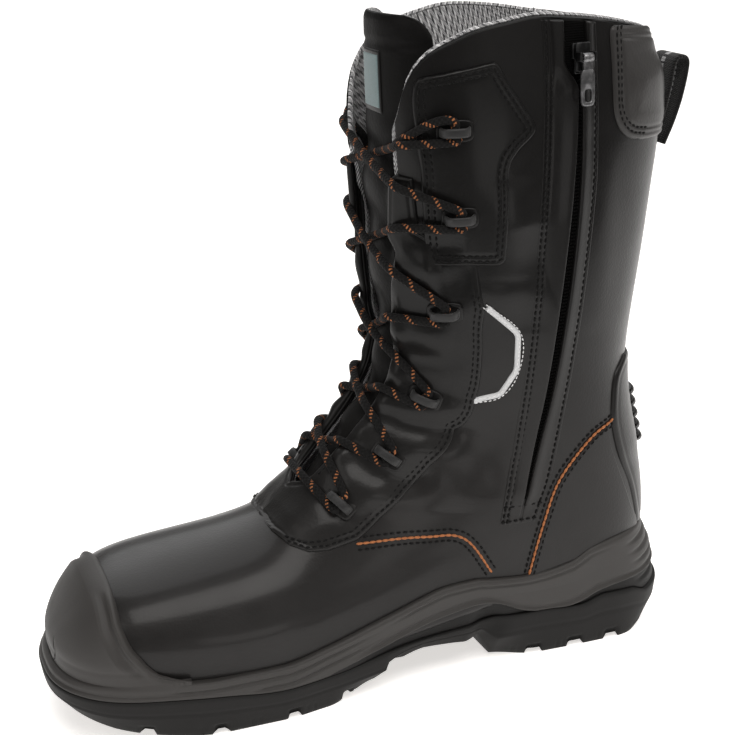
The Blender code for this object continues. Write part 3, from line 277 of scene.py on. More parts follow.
def colour_setting(name, description, default):
    """Setting for a colour."""
    return bpy.props.FloatVectorProperty(name=name, description=description, default=default, subtype="COLOR")


class BootSizes(bpy.types.PropertyGroup):
    """Sizes that a maker would change."""

    leather: length_setting("Leather", "Thickness of the upper's leather", 0.0016)
    lining: length_setting("Lining", "Thickness of the textile lining", 0.0013)
    lace: length_setting("Lace", "Diameter of the lace", 0.0038)
    stitch: length_setting("Stitch", "Length of a stitch", 0.0023)
    stitch_pitch: length_setting("Stitch pitch", "From one stitch to the next", 0.0030)
    thread: length_setting("Thread", "Diameter of the sewing thread", 0.00115)
    seam_thread: length_setting("Seam thread", "Diameter of the orange seam thread", 0.0013)
    tooth_pitch: length_setting("Tooth pitch", "From one zip tooth to the next", 0.0016)


class BootColours(bpy.types.PropertyGroup):
    """Colours of the finishes."""

    leather: colour_setting("Leather", "Polished upper leather", (0.0048, 0.0045, 0.0044))
    panel: colour_setting("Panels", "Facing and sewn panels", (0.0044, 0.0042, 0.0041))
    rubber: colour_setting("Rubber", "Moulded midsole and toe cap", (0.0285, 0.0262, 0.0246))
    tread: colour_setting("Tread", "Outsole rubber", (0.0060, 0.0057, 0.0055))
    cloth_light: colour_setting("Lining, light", "Light yarn of the lining", (0.72, 0.72, 0.73))
    cloth_dark: colour_setting("Lining, dark", "Dark yarn of the lining", (0.032, 0.032, 0.036))
    orange: colour_setting("Orange thread", "Seam thread and lace flecks", (0.38, 0.14, 0.055))
    lace: colour_setting("Lace", "Yarn of the lace", (0.0052, 0.0050, 0.0050))
    loop: colour_setting("Lace loops", "Satin bands of the lace loops", (0.0065, 0.0065, 0.0068))
    metal: colour_setting("Zip metal", "Dark plated slider and tab", (0.20, 0.20, 0.205))
    trim: colour_setting("Reflective strip", "Pale reflective strip", (0.56, 0.57, 0.58))
    label: colour_setting("Tongue label", "Bare woven label", (0.12, 0.17, 0.175))
    floor: colour_setting("Floor", "Plain pale floor", (0.88, 0.88, 0.88))


def sizes():
    return bpy.context.scene.boot_sizes


def colours():
    return bpy.context.scene.boot_colours


# Shape helpers

def smooth_step(value):
    """Ease from 0 to 1 for a value between 0 and 1."""
    value = np.clip(value, 0.0, 1.0)
    return value * value * (3.0 - 2.0 * value)


def bisect(function, low, high, steps=36):
    """Root of a function that falls through zero between low and high, for arrays."""
    low = np.array(low, float)
    high = np.array(high, float)
    for _ in range(steps):
        middle = 0.5 * (low + high)
        above = function(middle) > 0
        low = np.where(above, middle, low)
        high = np.where(above, high, middle)
    return 0.5 * (low + high)


def eased(rows, x, index=1):
    """Column of a table at x of its first column, on a curve that adds no bumps."""
    table = np.array(rows, float)
    at, value = table[:, 0], table[:, index]
    step = np.diff(at)
    slope = np.diff(value) / step
    turn = slope[:-1] * slope[1:]
    lean = np.zeros(len(at))
    total = slope[:-1] + slope[1:]
    lean[1:-1] = np.where(turn > 0, 2.0 * turn / (total + np.where(total == 0, 1, 0)), 0.0)
    lean[0], lean[-1] = slope[0], slope[-1]
    x = np.asarray(x, float)
    i = np.clip(np.searchsorted(at, x, side="right") - 1, 0, len(at) - 2)
    u = np.clip((x - at[i]) / step[i], 0.0, 1.0)
    start = value[i] * (1 + 2 * u) * (1 - u) ** 2 + lean[i] * step[i] * u * (1 - u) ** 2
    return start + value[i + 1] * u * u * (3 - 2 * u) + lean[i + 1] * step[i] * u * u * (u - 1)


def straight(rows, x, index=1):
    """Column of a table at x of its first column, on straight lines."""
    table = np.array(rows, float)
    return np.interp(x, table[:, 0], table[:, index])


def flowing(rows, count):
    """Rows of a table drawn finer on a smooth curve through them, evenly along its length."""
    table = np.array(rows, float)
    padded = np.vstack([2 * table[0] - table[1], table, 2 * table[-1] - table[-2]])
    fine = []
    for i in range(len(table) - 1):
        a, b, c, d = padded[i:i + 4]
        t = np.linspace(0.0, 1.0, 25)[:-1, None]
        bend, twist = 2 * a - 5 * b + 4 * c - d, 3 * b - a - 3 * c + d
        fine.append(0.5 * (2 * b + (c - a) * t + bend * t * t + twist * t ** 3))
    fine = np.vstack(fine + [table[-1:]])
    run = lengths(fine)
    at = np.linspace(0.0, run[-1], count)
    return np.stack([np.interp(at, run, fine[:, k]) for k in range(fine.shape[1])], 1)


def spread(length, step):
    """Shares from 0 to 1 for a width in millimetres, closer together at both ends."""
    edge = np.array([0.0, 0.15, 0.4, 0.8, 1.4, 2.2]) / length
    edge = edge[edge < 0.4]
    inner = np.linspace(edge[-1], 1.0 - edge[-1], max(3, int(length / step)))
    return np.concatenate([edge[:-1], inner, (1.0 - edge[:-1])[::-1]])


def near(spots, border):
    """Distance of each spot to the nearest border point."""
    flat = spots.reshape(-1, 3)
    best = np.empty(len(flat))
    square = (border ** 2).sum(1)
    for i in range(0, len(flat), 4000):
        part = flat[i:i + 4000]
        reach = (part ** 2).sum(1)[:, None] + square[None, :] - 2.0 * part @ border.T
        best[i:i + 4000] = np.sqrt(np.maximum(reach.min(1), 0.0))
    return best.reshape(spots.shape[:-1])


def lengths(spots):
    """Distance along a line of points from its start."""
    return np.concatenate([[0.0], np.cumsum(np.linalg.norm(np.diff(spots, axis=0), axis=1))])


def relief(spots):
    """Height of the creases at points of the surface."""
    x, y, z = spots[..., 0], spots[..., 1], spots[..., 2]
    height = np.zeros(x.shape)
    for side, half_width, depth, path in CREASE_ROWS:
        path = np.array(path)
        total = lengths(path)
        best = np.full(x.shape, 1e9)
        share = np.zeros(x.shape)
        for a, b, begun, ended in zip(path, path[1:], total, total[1:]):
            run = b - a
            t = np.clip(((x - a[0]) * run[0] + (z - a[1]) * run[1]) / (run @ run), 0.0, 1.0)
            gap = np.hypot(x - a[0] - t * run[0], z - a[1] - t * run[1])
            share = np.where(gap < best, (begun + t * (ended - begun)) / total[-1], share)
            best = np.minimum(best, gap)
        ends = np.sin(np.pi * np.clip(share, 0.0, 1.0)) ** 0.7
        swell = CREASE_STRENGTH * depth * np.exp(-(best / half_width) ** 2) * ends
        if side:
            swell = swell * smooth_step((y * side) / 10.0)
        else:
            swell = swell * np.where(y >= 0, 1.0, 0.85)
        height += swell * smooth_step((np.abs(y) - 6.0) / 12.0)
    return height


class Last:
    """Outer surface of the upper, by section number and share of the way round.

    along counts sections from the toe; around is 0 on the ridge, 0.5 where a section
    is widest and 1 on the sole or back seam, positive on the inner side.
    """

    def __init__(self):
        table = np.array(LAST_ROWS, float)
        before = table[1].copy()
        before[0:4] = table[1, [2, 3, 0, 1]]
        before[4:6] *= -1.0
        self.table = np.vstack([before, table])
        self.end = len(table) - 1
        count = len(self.table)
        matrix = np.eye(count)
        bends = np.zeros_like(self.table)
        for i in range(1, count - 1):
            matrix[i, i - 1:i + 2] = (1.0, 4.0, 1.0)
            bends[i] = 6.0 * (self.table[i - 1] - 2.0 * self.table[i] + self.table[i + 1])
        self.bends = np.linalg.solve(matrix, bends)

    def section(self, along):
        """Row of section values at a section number."""
        along = np.clip(along, 0.0, self.end) + 1.0
        i = np.minimum(along.astype(int), len(self.table) - 2)
        u = (along - i)[..., None]
        v = 1.0 - u
        straight = self.table[i] * v + self.table[i + 1] * u
        return straight + (v ** 3 - v) * self.bends[i] / 6.0 + (u ** 3 - u) * self.bends[i + 1] / 6.0

    def surface(self, along, around):
        """Points on the surface itself, before its creases."""
        along, around = np.broadcast_arrays(np.asarray(along, float), np.asarray(around, float))
        row = self.section(along)
        sole = row[..., 0:2]
        span = row[..., 2:4] - sole
        length = np.maximum(np.hypot(span[..., 0], span[..., 1]), 1e-6)
        angle = np.abs(around) * math.pi
        half = np.maximum(np.where(around >= 0, row[..., 4], row[..., 5]), 1e-6)
        lower = smooth_step((angle - math.pi / 3.0) / (math.pi / 3.0))
        power = row[..., 8] * (1.0 - lower) + row[..., 7] * lower
        below = row[..., 6] * length
        reach = (length - below) * (1.0 - lower) + below * lower
        rise = np.abs(np.cos(angle)) / reach
        side = np.abs(np.sin(angle)) / half
        radius = (rise ** power + side ** power) ** (-1.0 / power)
        height = (radius * np.cos(angle) + below) / length
        x = sole[..., 0] + span[..., 0] * height
        z = sole[..., 1] + span[..., 1] * height
        y = np.sign(around) * radius * np.abs(np.sin(angle))
        return np.stack([x, y, z], axis=-1)

    def normal(self, along, around):
        """Outward direction."""
        along, around = np.broadcast_arrays(np.asarray(along, float), np.asarray(around, float))
        up = self.surface(np.minimum(along + 0.02, self.end), around)
        down = self.surface(np.maximum(along - 0.02, 0.0), around)
        on = self.surface(along, np.minimum(around + 0.003, 1.0))
        back = self.surface(along, np.maximum(around - 0.003, -1.0))
        out = np.cross(on - back, up - down)
        out[..., 1] = np.where(np.abs(around) > 0.9999, 0.0, out[..., 1])
        out = np.where(along[..., None] < 0.01, np.array([1.0, 0.0, 0.0]), out)
        return out / np.maximum(np.linalg.norm(out, axis=-1, keepdims=True), 1e-12)

    def point(self, along, around, lift=0.0):
        """Points lifted off the creased surface by so many millimetres."""
        base = self.surface(along, around)
        lift = np.asarray(lift, float) + relief(base)
        return base + self.normal(along, around) * lift[..., None]

    def locate(self, x, z):
        """Section number and share round of the side point that shows at x, z."""
        x, z = np.broadcast_arrays(np.asarray(x, float), np.asarray(z, float))

        def ahead(along):
            row = self.section(along)
            across = (x - row[..., 0]) * (row[..., 3] - row[..., 1])
            return (z - row[..., 1]) * (row[..., 2] - row[..., 0]) - across

        along = bisect(ahead, np.full(x.shape, 0.5), np.full(x.shape, float(self.end)))
        row = self.section(along)
        span = row[..., 2:4] - row[..., 0:2]
        height = ((x - row[..., 0]) * span[..., 0] + (z - row[..., 1]) * span[..., 1]) / (span ** 2).sum(-1)

        def over(around):
            spot = self.surface(along, around)
            reach = (spot[..., 0] - row[..., 0]) * span[..., 0]
            reach = reach + (spot[..., 2] - row[..., 1]) * span[..., 1]
            return reach / (span ** 2).sum(-1) - height

        return along, bisect(over, np.zeros(x.shape), np.ones(x.shape))

    def around_at(self, along, half_width):
        """Share round at which a section is so wide, above its widest line."""
        along, half_width = np.broadcast_arrays(np.asarray(along, float), np.asarray(half_width, float))

        def narrower(around):
            return half_width - self.surface(along, around)[..., 1]

        found = bisect(narrower, np.zeros(along.shape), np.full(along.shape, 0.5))
        return np.where(half_width <= 0.0, 0.0, found)

    def around_below(self, along, half_width, side):
        """Share round at which a section is so wide, below or behind its widest line."""
        along, half_width = np.broadcast_arrays(np.asarray(along, float), np.asarray(half_width, float))

        def wider(around):
            return np.abs(self.surface(along, around * side)[..., 1]) - half_width

        found = bisect(wider, np.full(along.shape, 0.5), np.ones(along.shape))
        return np.where(half_width < 0.01, 1.0, found)

    def back_section(self, z):
        """Section number whose back point is at a height."""
        z = np.asarray(z, float)
        return bisect(lambda s: z - self.section(s)[..., 1], np.full(z.shape, 10.0), np.full(z.shape, 19.0))

    def around_seat(self, along, seat):
        """Share round at which a section comes down to a level, or 1 if it stays above."""
        share = np.linspace(0.42, 1.0, 600)
        along = np.asarray(along, float)
        level = self.surface(along[:, None], share[None, :])
        low = level[..., 2] < seat(level[..., 0])
        first = np.argmax(low, axis=1)
        return np.where(low.any(axis=1), share[first], 1.0)

    def collar_edge(self, around, drop=0.0, ahead=0.0):
        """Section number of the collar's top edge at a share round, lowered or drawn forward."""

        def below(along):
            spot = self.surface(along, around)
            return eased(COLLAR_ROWS, spot[..., 0] - ahead) - drop - spot[..., 2]

        return bisect(below, np.full(around.shape, TOP_FROM), np.full(around.shape, float(self.end)))


LAST = Last()


def bed_level(x):
    """Height of the footbed under the last."""
    return straight(LAST_ROWS[10:0:-1], x)


def wall_seat(x):
    """Height of the upper's lower edge."""
    return bed_level(x) + UPPER_SEAT


def throat_edge(along, inwards=0.0):
    """Share round of the facing's edge, or of a line further into the throat."""
    gap = eased(THROAT_ROWS, along)
    return LAST.around_at(along, np.where(gap > 0.0, np.maximum(gap - inwards, 0.0), 0.0))


def side_line(path, side, lift):
    """Points on the boot's side over a line seen from the side."""
    path = np.asarray(path, float)
    along, around = LAST.locate(path[:, 0], path[:, 1])
    return LAST.point(along, around * side, lift)


def side_spot(x, z, side, slope):
    """Place on the side, with its outward, upward and forward directions."""
    along, around = LAST.locate(x, z)
    around = around * side
    out = Vector(LAST.normal(along, around))
    up = Vector((math.cos(math.radians(slope)), 0.0, math.sin(math.radians(slope))))
    up = (up - out * up.dot(out)).normalized()
    return along, around, out, up, up.cross(out) * side


# Meshes

class Stock:
    """Point grids gathered for one piece, in boot millimetres."""

    def __init__(self):
        self.points, self.faces, self.skins, self.maps = [], [], [], []
        self.count = 0

    def grid(self, points, flip=False, skin=0, uv=None, wrap=False):
        """Quads between neighbouring points; uv is in millimetres of the surface."""
        points = np.asarray(points, float)
        rows, columns = points.shape[0:2]
        index = np.arange(rows * columns).reshape(rows, columns) + self.count
        if wrap:
            index = np.hstack([index, index[:, :1]])
        quads = np.stack([index[:-1, :-1], index[:-1, 1:], index[1:, 1:], index[1:, :-1]], -1).reshape(-1, 4)
        self.add(points.reshape(-1, 3), quads[:, ::-1] if flip else quads, skin, uv)

    def add(self, points, quads, skin=0, uv=None):
        """Points with their faces."""
        self.points.append(points)
        self.faces.append(quads)
        self.skins.append(np.full(len(quads), skin))
        self.maps.append(np.zeros((len(points), 2)) if uv is None else np.asarray(uv, float).reshape(-1, 2))
        self.count += len(points)

    def lid(self, ring, flip=False, skin=0):
        """Fan over a closed ring of points."""
        ring = np.asarray(ring, float)
        size = len(ring)
        points = np.vstack([ring, ring.mean(0)])
        start = np.arange(size) + self.count
        middle = np.full(size, size + self.count)
        faces = np.stack([start, np.roll(start, -1), middle, middle], 1)
        self.add(points, faces[:, ::-1] if flip else faces, skin)

    def piece(self, name, *finishes, weld=0.012, outwards=False):
        """Finished object at the origin, welded where its grids meet."""
        points = np.vstack(self.points)
        points = (points - np.array([HEEL_SETBACK, 0.0, 0.0])) * MM
        faces = np.vstack(self.faces)
        skins = np.concatenate(self.skins)
        mesh = bpy.data.meshes.new(name)
        mesh.from_pydata(points.tolist(), [], [tuple(dict.fromkeys(face)) for face in faces.tolist()])
        mesh.polygons.foreach_set("material_index", skins.astype(np.int32))
        layer = mesh.uv_layers.new(name="surface")
        corner = np.empty(len(mesh.loops), np.int32)
        mesh.loops.foreach_get("vertex_index", corner)
        layer.data.foreach_set("uv", (np.vstack(self.maps) * MM)[corner].astype(np.float32).ravel())
        shape = bmesh.new()
        shape.from_mesh(mesh)
        bmesh.ops.remove_doubles(shape, verts=shape.verts, dist=weld * MM)
        bmesh.ops.dissolve_degenerate(shape, edges=shape.edges, dist=0.002 * MM)
        if outwards:
            bmesh.ops.recalc_face_normals(shape, faces=shape.faces)
        shape.to_mesh(mesh)
        shape.free()
        mesh.polygons.foreach_set("use_smooth", np.ones(len(mesh.polygons), bool))
        for finish in finishes:
            mesh.materials.append(finish)
        made = bpy.data.objects.new(name, mesh)
        bpy.context.scene.collection.objects.link(made)
        return made


def settle(piece, slot, *nodes, body="boot"):
    """Put a finished piece on its body and in place of its CAD nodes; slot is not used."""
    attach(piece, body)
    if nodes:
        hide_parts(*nodes)
    return piece


def rolled(outer, inner, outwards, steps=4):
    """Grid round an edge, from a line on the outer face to one on the inner face."""
    middle, half = 0.5 * (outer + inner), 0.5 * (outer - inner)
    reach = np.linalg.norm(half, axis=-1, keepdims=True)
    turn = np.linspace(0.0, np.pi, steps + 1)
    lines = [middle + half * math.cos(t) + outwards * reach * math.sin(t) for t in turn]
    return np.stack(lines, 1)


def unit(vectors):
    """Vectors of length one."""
    return vectors / np.maximum(np.linalg.norm(vectors, axis=-1, keepdims=True), 1e-9)


def dome(reach, radius):
    """Rounded rise from 0 at an edge to 1 at a radius from it."""
    return np.sqrt(np.clip(1.0 - (1.0 - np.clip(reach / radius, 0.0, 1.0)) ** 2, 0.0, 1.0))


def oval(turn, half_long, half_wide, power):
    """Points of a rounded oblong at angles; a smaller power has squarer corners."""
    c, s = np.cos(turn), np.sin(turn)
    long, wide = np.sign(c) * np.abs(c) ** power, np.sign(s) * np.abs(s) ** power
    return np.stack([half_long * long, half_wide * wide], 1)


def surface_map(spots):
    """Millimetres across and along a grid of points."""
    across, upward = np.zeros(spots.shape[0:2]), np.zeros(spots.shape[0:2])
    across[:, 1:] = np.cumsum(np.linalg.norm(np.diff(spots, axis=1), axis=2), 1)
    upward[1:] = np.cumsum(np.linalg.norm(np.diff(spots, axis=0), axis=2), 0)
    return np.stack([across, upward], -1)


def quilt(stock, along, around, side, top, radius, free=BORDERS, swell=None):
    """Closed sewn panel on the last, rounded down to the leather at its free edges.

    free names the borders that end there; a row mask may stand for start or stop.
    swell adds to the lift of its face, from the distance to the edge.
    """
    free = dict.fromkeys(free, True) if not isinstance(free, dict) else free
    spots = LAST.surface(along, around)
    border = []
    for name, line in zip(BORDERS, (spots[:, 0], spots[:, -1], spots[0], spots[-1])):
        mask = free.get(name, False)
        if mask is True:
            border.append(line)
        elif mask is not False:
            border.append(line[mask])
    reach = near(spots, np.vstack(border))
    lift = PANEL_BASE + (np.asarray(top) - PANEL_BASE) * dome(reach, radius)
    if swell is not None:
        lift = lift + swell(reach, spots)
    uv = surface_map(spots)
    stock.grid(LAST.point(along, around * side, lift), side < 0, 0, uv)
    stock.grid(LAST.point(along, around * side, np.full(along.shape, PANEL_BASE)), side > 0, 0, uv)


def crossing_rows(rows, count, step):
    """Grid of section numbers and shares round for a panel drawn in rows that cross it."""
    table = flowing(rows, count)
    width = np.hypot(table[:, 0] - table[:, 2], table[:, 1] - table[:, 3]).mean()
    share = spread(width, step)[None, :]
    x = table[:, 0:1] * (1.0 - share) + table[:, 2:3] * share
    z = table[:, 1:2] * (1.0 - share) + table[:, 3:4] * share
    return LAST.locate(x, z)


def tube(stock, path, radius, corners):
    """Round cord through points, closed at both ends; radius may change along it."""
    path = np.asarray(path, float)
    radius = np.broadcast_to(np.asarray(radius, float), (len(path),))
    ahead = unit(np.gradient(path, axis=0))
    side = np.cross(ahead[0], (0.0, 0.0, 1.0))
    if np.linalg.norm(side) < 0.1:
        side = np.cross(ahead[0], (0.0, 1.0, 0.0))
    sides = [side / np.linalg.norm(side)]
    for step in ahead[1:]:
        turned = sides[-1] - step * (sides[-1] @ step)
        sides.append(turned / np.linalg.norm(turned))
    sides = np.array(sides)
    ups = np.cross(sides, ahead)
    turn = np.linspace(0.0, 2.0 * np.pi, corners + 1)
    ring = np.cos(turn)[None, :, None] * sides[:, None] + np.sin(turn)[None, :, None] * ups[:, None]
    points = path[:, None] + ring * radius[:, None, None]
    run = lengths(path)
    uv = np.stack(np.broadcast_arrays(run[:, None], (turn / (2.0 * np.pi))[None, :] * 1000.0), -1)
    stock.grid(points, False, 0, uv)
    stock.lid(points[0, :-1])
    stock.lid(points[-1, :-1], True)


# Finishes

class Value:
    """A shader socket that takes part in sums."""

    def __init__(self, finish, socket):
        self.finish = finish
        self.socket = socket

    def sum(self, operation, other, swap=False):
        first, second = (other, self) if swap else (self, other)
        return self.finish.node("ShaderNodeMath", {"operation": operation}, {0: first, 1: second})

    def __add__(self, other):
        return self.sum("ADD", other)

    def __radd__(self, other):
        return self.sum("ADD", other, True)

    def __sub__(self, other):
        return self.sum("SUBTRACT", other)

    def __rsub__(self, other):
        return self.sum("SUBTRACT", other, True)

    def __mul__(self, other):
        return self.sum("MULTIPLY", other)

    def __rmul__(self, other):
        return self.sum("MULTIPLY", other, True)

    def __truediv__(self, other):
        return self.sum("DIVIDE", other)

    def __mod__(self, other):
        return self.sum("FLOORED_MODULO", other)

    def sine(self):
        return self.finish.node("ShaderNodeMath", {"operation": "SINE"}, {0: self})

    def size(self):
        return self.finish.node("ShaderNodeMath", {"operation": "ABSOLUTE"}, {0: self})

    def clip(self):
        settings = {"operation": "MULTIPLY", "use_clamp": True}
        return self.finish.node("ShaderNodeMath", settings, {0: self, 1: 1.0})

    def ramp(self, low, high):
        """Ease from 0 to 1 between two levels."""
        sockets = {"Value": self, "From Min": low, "From Max": high}
        return self.finish.node("ShaderNodeMapRange", {"interpolation_type": "SMOOTHSTEP"}, sockets)


class Finish:
    """A material made of nodes."""

    def __init__(self, name, **fixed):
        self.material = bpy.data.materials.new(name)
        self.material.use_nodes = True
        self.tree = self.material.node_tree
        self.shader = self.tree.nodes["Principled BSDF"]
        self.set(**fixed)

    def node(self, kind, settings=None, sockets=None, out=0):
        """Add a node; returns one of its outputs."""
        made = self.tree.nodes.new(kind)
        for name, value in (settings or {}).items():
            setattr(made, name, value)
        for name, value in (sockets or {}).items():
            socket = made.inputs[name]
            if isinstance(value, Value):
                self.tree.links.new(value.socket, socket)
            else:
                socket.default_value = value
        return Value(self, made.outputs[out])

    def set(self, **values):
        """Values or links of the shader's sockets; spaces in names are underscores."""
        for name, value in values.items():
            socket = self.shader.inputs[name.replace("_", " ")]
            if isinstance(value, Value):
                self.tree.links.new(value.socket, socket)
            elif hasattr(value, "__len__") and len(value) == 3:
                socket.default_value = tuple(value) + (1.0,)
            else:
                socket.default_value = value

    def place(self, source="Object"):
        """Object coordinates, or the piece's own map."""
        return self.node("ShaderNodeTexCoord", out=source)

    def axis(self, where, index):
        return self.node("ShaderNodeSeparateXYZ", None, {0: where}, index)

    def noise(self, where, scale, detail=3.0, rough=0.55):
        sockets = {"Vector": where, "Scale": scale, "Detail": detail, "Roughness": rough}
        return self.node("ShaderNodeTexNoise", None, sockets)

    def cells(self, where, scale):
        return self.node("ShaderNodeTexVoronoi", None, {"Vector": where, "Scale": scale})

    def stretched(self, where, x, y, z):
        return self.node("ShaderNodeMapping", None, {"Vector": where, "Scale": (x, y, z)})

    def mix(self, share, first, second):
        """Colour between two colours."""
        first = first if isinstance(first, Value) else tuple(first) + (1.0,)
        second = second if isinstance(second, Value) else tuple(second) + (1.0,)
        return self.node("ShaderNodeMix", {"data_type": "RGBA"}, {0: share, 6: first, 7: second}, 2)

    def bump(self, height, strength, depth):
        """Relief of so many metres on the shader's normal."""
        sockets = {"Strength": strength, "Distance": depth, "Height": height}
        self.set(Normal=self.node("ShaderNodeBump", None, sockets))


def scaled(colour, factor):
    return tuple(min(1.0, c * factor) for c in colour[0:3])


def leather_finish(name, colour, rough=0.31, coat=0.17, grain=0.30, pores=900.0, shine=0.15):
    """Polished leather: fine pores, soft patches of polish, and painted light that makes it paler towards the
    sole.
    """
    made = Finish(name, Specular_IOR_Level=shine, Coat_Roughness=0.15)
    where = made.place()
    broad = made.noise(where, 22.0, 3.0, 0.5)
    haze = made.noise(where, 85.0, 4.0, 0.6)
    fine = made.noise(where, 520.0, 4.0, 0.62)
    pore = made.cells(where, pores)
    # Painted light: below about 19 cm the colour turns paler, fully so under 7.5 cm and in patches, lifting
    # the lower leather as if more light fell there.
    paling = (made.axis(where, 2) * -1.0).ramp(-0.19, -0.075) * (0.7 + 0.5 * haze)
    polished = made.mix((broad * 0.6 + haze * 0.5).clip(), scaled(colour, 0.75), scaled(colour, 1.55))
    made.set(
        Base_Color=made.mix(paling.clip(), polished, scaled(colour, 3.3)),
        Roughness=rough - 0.05 + 0.14 * haze + 0.06 * fine,
        Coat_Weight=(coat * (0.55 + 0.9 * broad)).clip(),
    )
    made.bump(fine * 0.55 + pore * 0.45 + haze * 0.5, grain, 0.00032)
    return made.material


def rubber_finish(name, colour, rough=0.58, paling=0.10, shine=0.42):
    """Moulded rubber: fine spark texture, faint bloom and handling marks."""
    made = Finish(name, Specular_IOR_Level=shine)
    where = made.place()
    broad = made.noise(where, 30.0, 4.0, 0.6)
    spark = made.noise(where, 1500.0, 2.0, 0.7)
    marks = made.noise(made.stretched(where, 1.0, 1.0, 5.0), 90.0, 5.0, 0.65).ramp(0.55, 0.78)
    made.set(
        Base_Color=made.mix(
            (broad * 0.5 + marks * paling * 2.0).clip(), scaled(colour, 0.85), scaled(colour, 1.45)
        ),
        Roughness=rough + 0.10 * (spark - 0.5) + 0.10 * (broad - 0.5),
    )
    made.bump(spark * 0.8 + broad * 0.6, 0.28, 0.00025)
    return made.material


def cloth_finish(name, light, dark):
    """Herringbone lining woven of light and dark yarn, with single yarns in relief."""
    made = Finish(name, Roughness=0.92, Specular_IOR_Level=0.2, Sheen_Weight=0.25, Sheen_Roughness=0.5)
    where = made.place("UV")
    across = made.axis(where, 0) * 1000.0
    upward = made.axis(where, 1) * 1000.0
    slope = ((across / 1.5) % 2.0 - 1.0).size() * 4.0
    twill = ((upward + slope) / 2.1) % 1.0
    wide = ((upward - slope) / 9.0) % 1.0
    stripe = twill.ramp(0.42, 0.58) - twill.ramp(0.92, 1.0)
    yarn = (across * 6.2).sine() * (upward * 6.2).sine()
    worn = made.noise(made.place(), 900.0, 3.0)
    share = (stripe * 0.90 + wide.ramp(0.4, 0.6) * 0.10 + yarn * 0.08 + (worn - 0.5) * 0.30).clip()
    made.set(Base_Color=made.mix(share, dark, light))
    made.bump(stripe * 0.6 + yarn * 0.4, 0.6, 0.0004)
    return made.material


def lace_finish(name, colour, fleck):
    """Round braided lace with bright flecks running round it."""
    made = Finish(name, Roughness=0.82, Specular_IOR_Level=0.12, Sheen_Weight=0.03, Sheen_Roughness=0.5)
    where = made.place("UV")
    run = made.axis(where, 0) * 1000.0
    turn = made.axis(where, 1)
    left = (run / 2.1 + turn * 4.0) % 1.0
    right = (run / 2.1 - turn * 4.0) % 1.0
    braid = (left - 0.5).size() + (right - 0.5).size()
    fuzz = made.noise(made.place(), 1400.0, 3.0)
    cluster = (run / 10.5 + turn) % 1.0
    cluster = cluster.ramp(0.78, 0.81) - cluster.ramp(0.97, 1.0)
    flecks = (cluster * ((run / 1.7 - turn * 3.0) % 1.0).ramp(0.52, 0.62) * fuzz.ramp(0.30, 0.50)).clip()
    base = made.mix((braid * 0.7 + fuzz * 0.3).clip(), scaled(colour, 0.5), scaled(colour, 2.2))
    made.set(Base_Color=made.mix(flecks * 0.9, base, fleck))
    made.bump(braid + fuzz * 0.5, 0.7, 0.0005)
    return made.material


def webbing_finish(name, colour, line):
    """Ribbed webbing with a paler sewn line down its middle."""
    made = Finish(name, Roughness=0.85, Specular_IOR_Level=0.25, Sheen_Weight=0.15, Sheen_Roughness=0.5)
    where = made.place("UV")
    across = made.axis(where, 0) * 1000.0
    run = made.axis(where, 1) * 1000.0
    rib = (run * 5.2 + ((across * 3.1).sine() * 1.5)).sine()
    middle = 1.0 - (across - 10.0).size().ramp(1.2, 2.0)
    dash = (run / 2.6 % 1.0).ramp(0.3, 0.4)
    fuzz = made.noise(made.place(), 1300.0, 3.0)
    base = made.mix((rib * 0.25 + fuzz * 0.5).clip(), scaled(colour, 0.6), scaled(colour, 2.2))
    made.set(Base_Color=made.mix(middle * dash * 0.8, base, line))
    made.bump(rib * 0.6 + fuzz * 0.4 + middle, 0.6, 0.0004)
    return made.material


def tape_finish(name, colour):
    """Dull black woven tape behind the zip."""
    made = Finish(name, Roughness=0.92, Specular_IOR_Level=0.05)
    where = made.place("UV")
    rib = (made.axis(where, 1) * 6200.0).sine()
    fuzz = made.noise(made.place(), 1300.0, 3.0)
    made.set(Base_Color=made.mix((rib * 0.25 + fuzz * 0.5).clip(), scaled(colour, 0.5), scaled(colour, 1.4)))
    made.bump(rib * 0.6 + fuzz * 0.4, 0.5, 0.0003)
    return made.material


def metal_finish(name, colour):
    """Dark plated metal with fine wear."""
    made = Finish(name, Metallic=0.9, Specular_IOR_Level=0.5)
    where = made.place()
    wear = made.noise(where, 260.0, 5.0, 0.65)
    scratch = made.noise(made.stretched(where, 12.0, 12.0, 1.0), 120.0, 3.0)
    made.set(
        Base_Color=made.mix(wear.ramp(0.4, 0.75), scaled(colour, 0.55), scaled(colour, 1.5)),
        Roughness=0.30 + 0.18 * wear,
    )
    made.bump(scratch, 0.15, 0.0002)
    return made.material


def thread_finish(name, colour):
    """Twisted sewing thread."""
    made = Finish(name, Roughness=0.7, Specular_IOR_Level=0.14, Sheen_Weight=0.04)
    where = made.place()
    ply = made.noise(where, 2600.0, 2.0)
    tone = made.noise(where, 140.0, 2.0)
    made.set(Base_Color=made.mix((ply * 0.5 + tone * 0.5).clip(), scaled(colour, 0.65), scaled(colour, 1.35)))
    made.bump(ply, 0.5, 0.0002)
    return made.material


def trim_finish(name, colour):
    """Reflective strip: pale, beaded and a little scuffed."""
    made = Finish(name, Specular_IOR_Level=0.6)
    where = made.place()
    beads = made.cells(where, 2600.0)
    scuff = made.noise(where, 180.0, 5.0, 0.65)
    made.set(
        Base_Color=made.mix(scuff.ramp(0.58, 0.8), colour, scaled(colour, 0.68)),
        Roughness=0.30 + 0.25 * scuff,
    )
    made.bump(beads, 0.2, 0.0001)
    return made.material


def satin_finish(name, colour):
    """Tight satin band of a lace loop."""
    made = Finish(name, Specular_IOR_Level=0.45, Sheen_Weight=0.1)
    where = made.place()
    rib = made.noise(made.stretched(where, 1.0, 1.0, 6.0), 700.0, 3.0)
    made.set(Base_Color=made.mix(rib, scaled(colour, 0.6), scaled(colour, 1.5)), Roughness=0.42 + 0.2 * rib)
    made.bump(rib, 0.35, 0.0002)
    return made.material


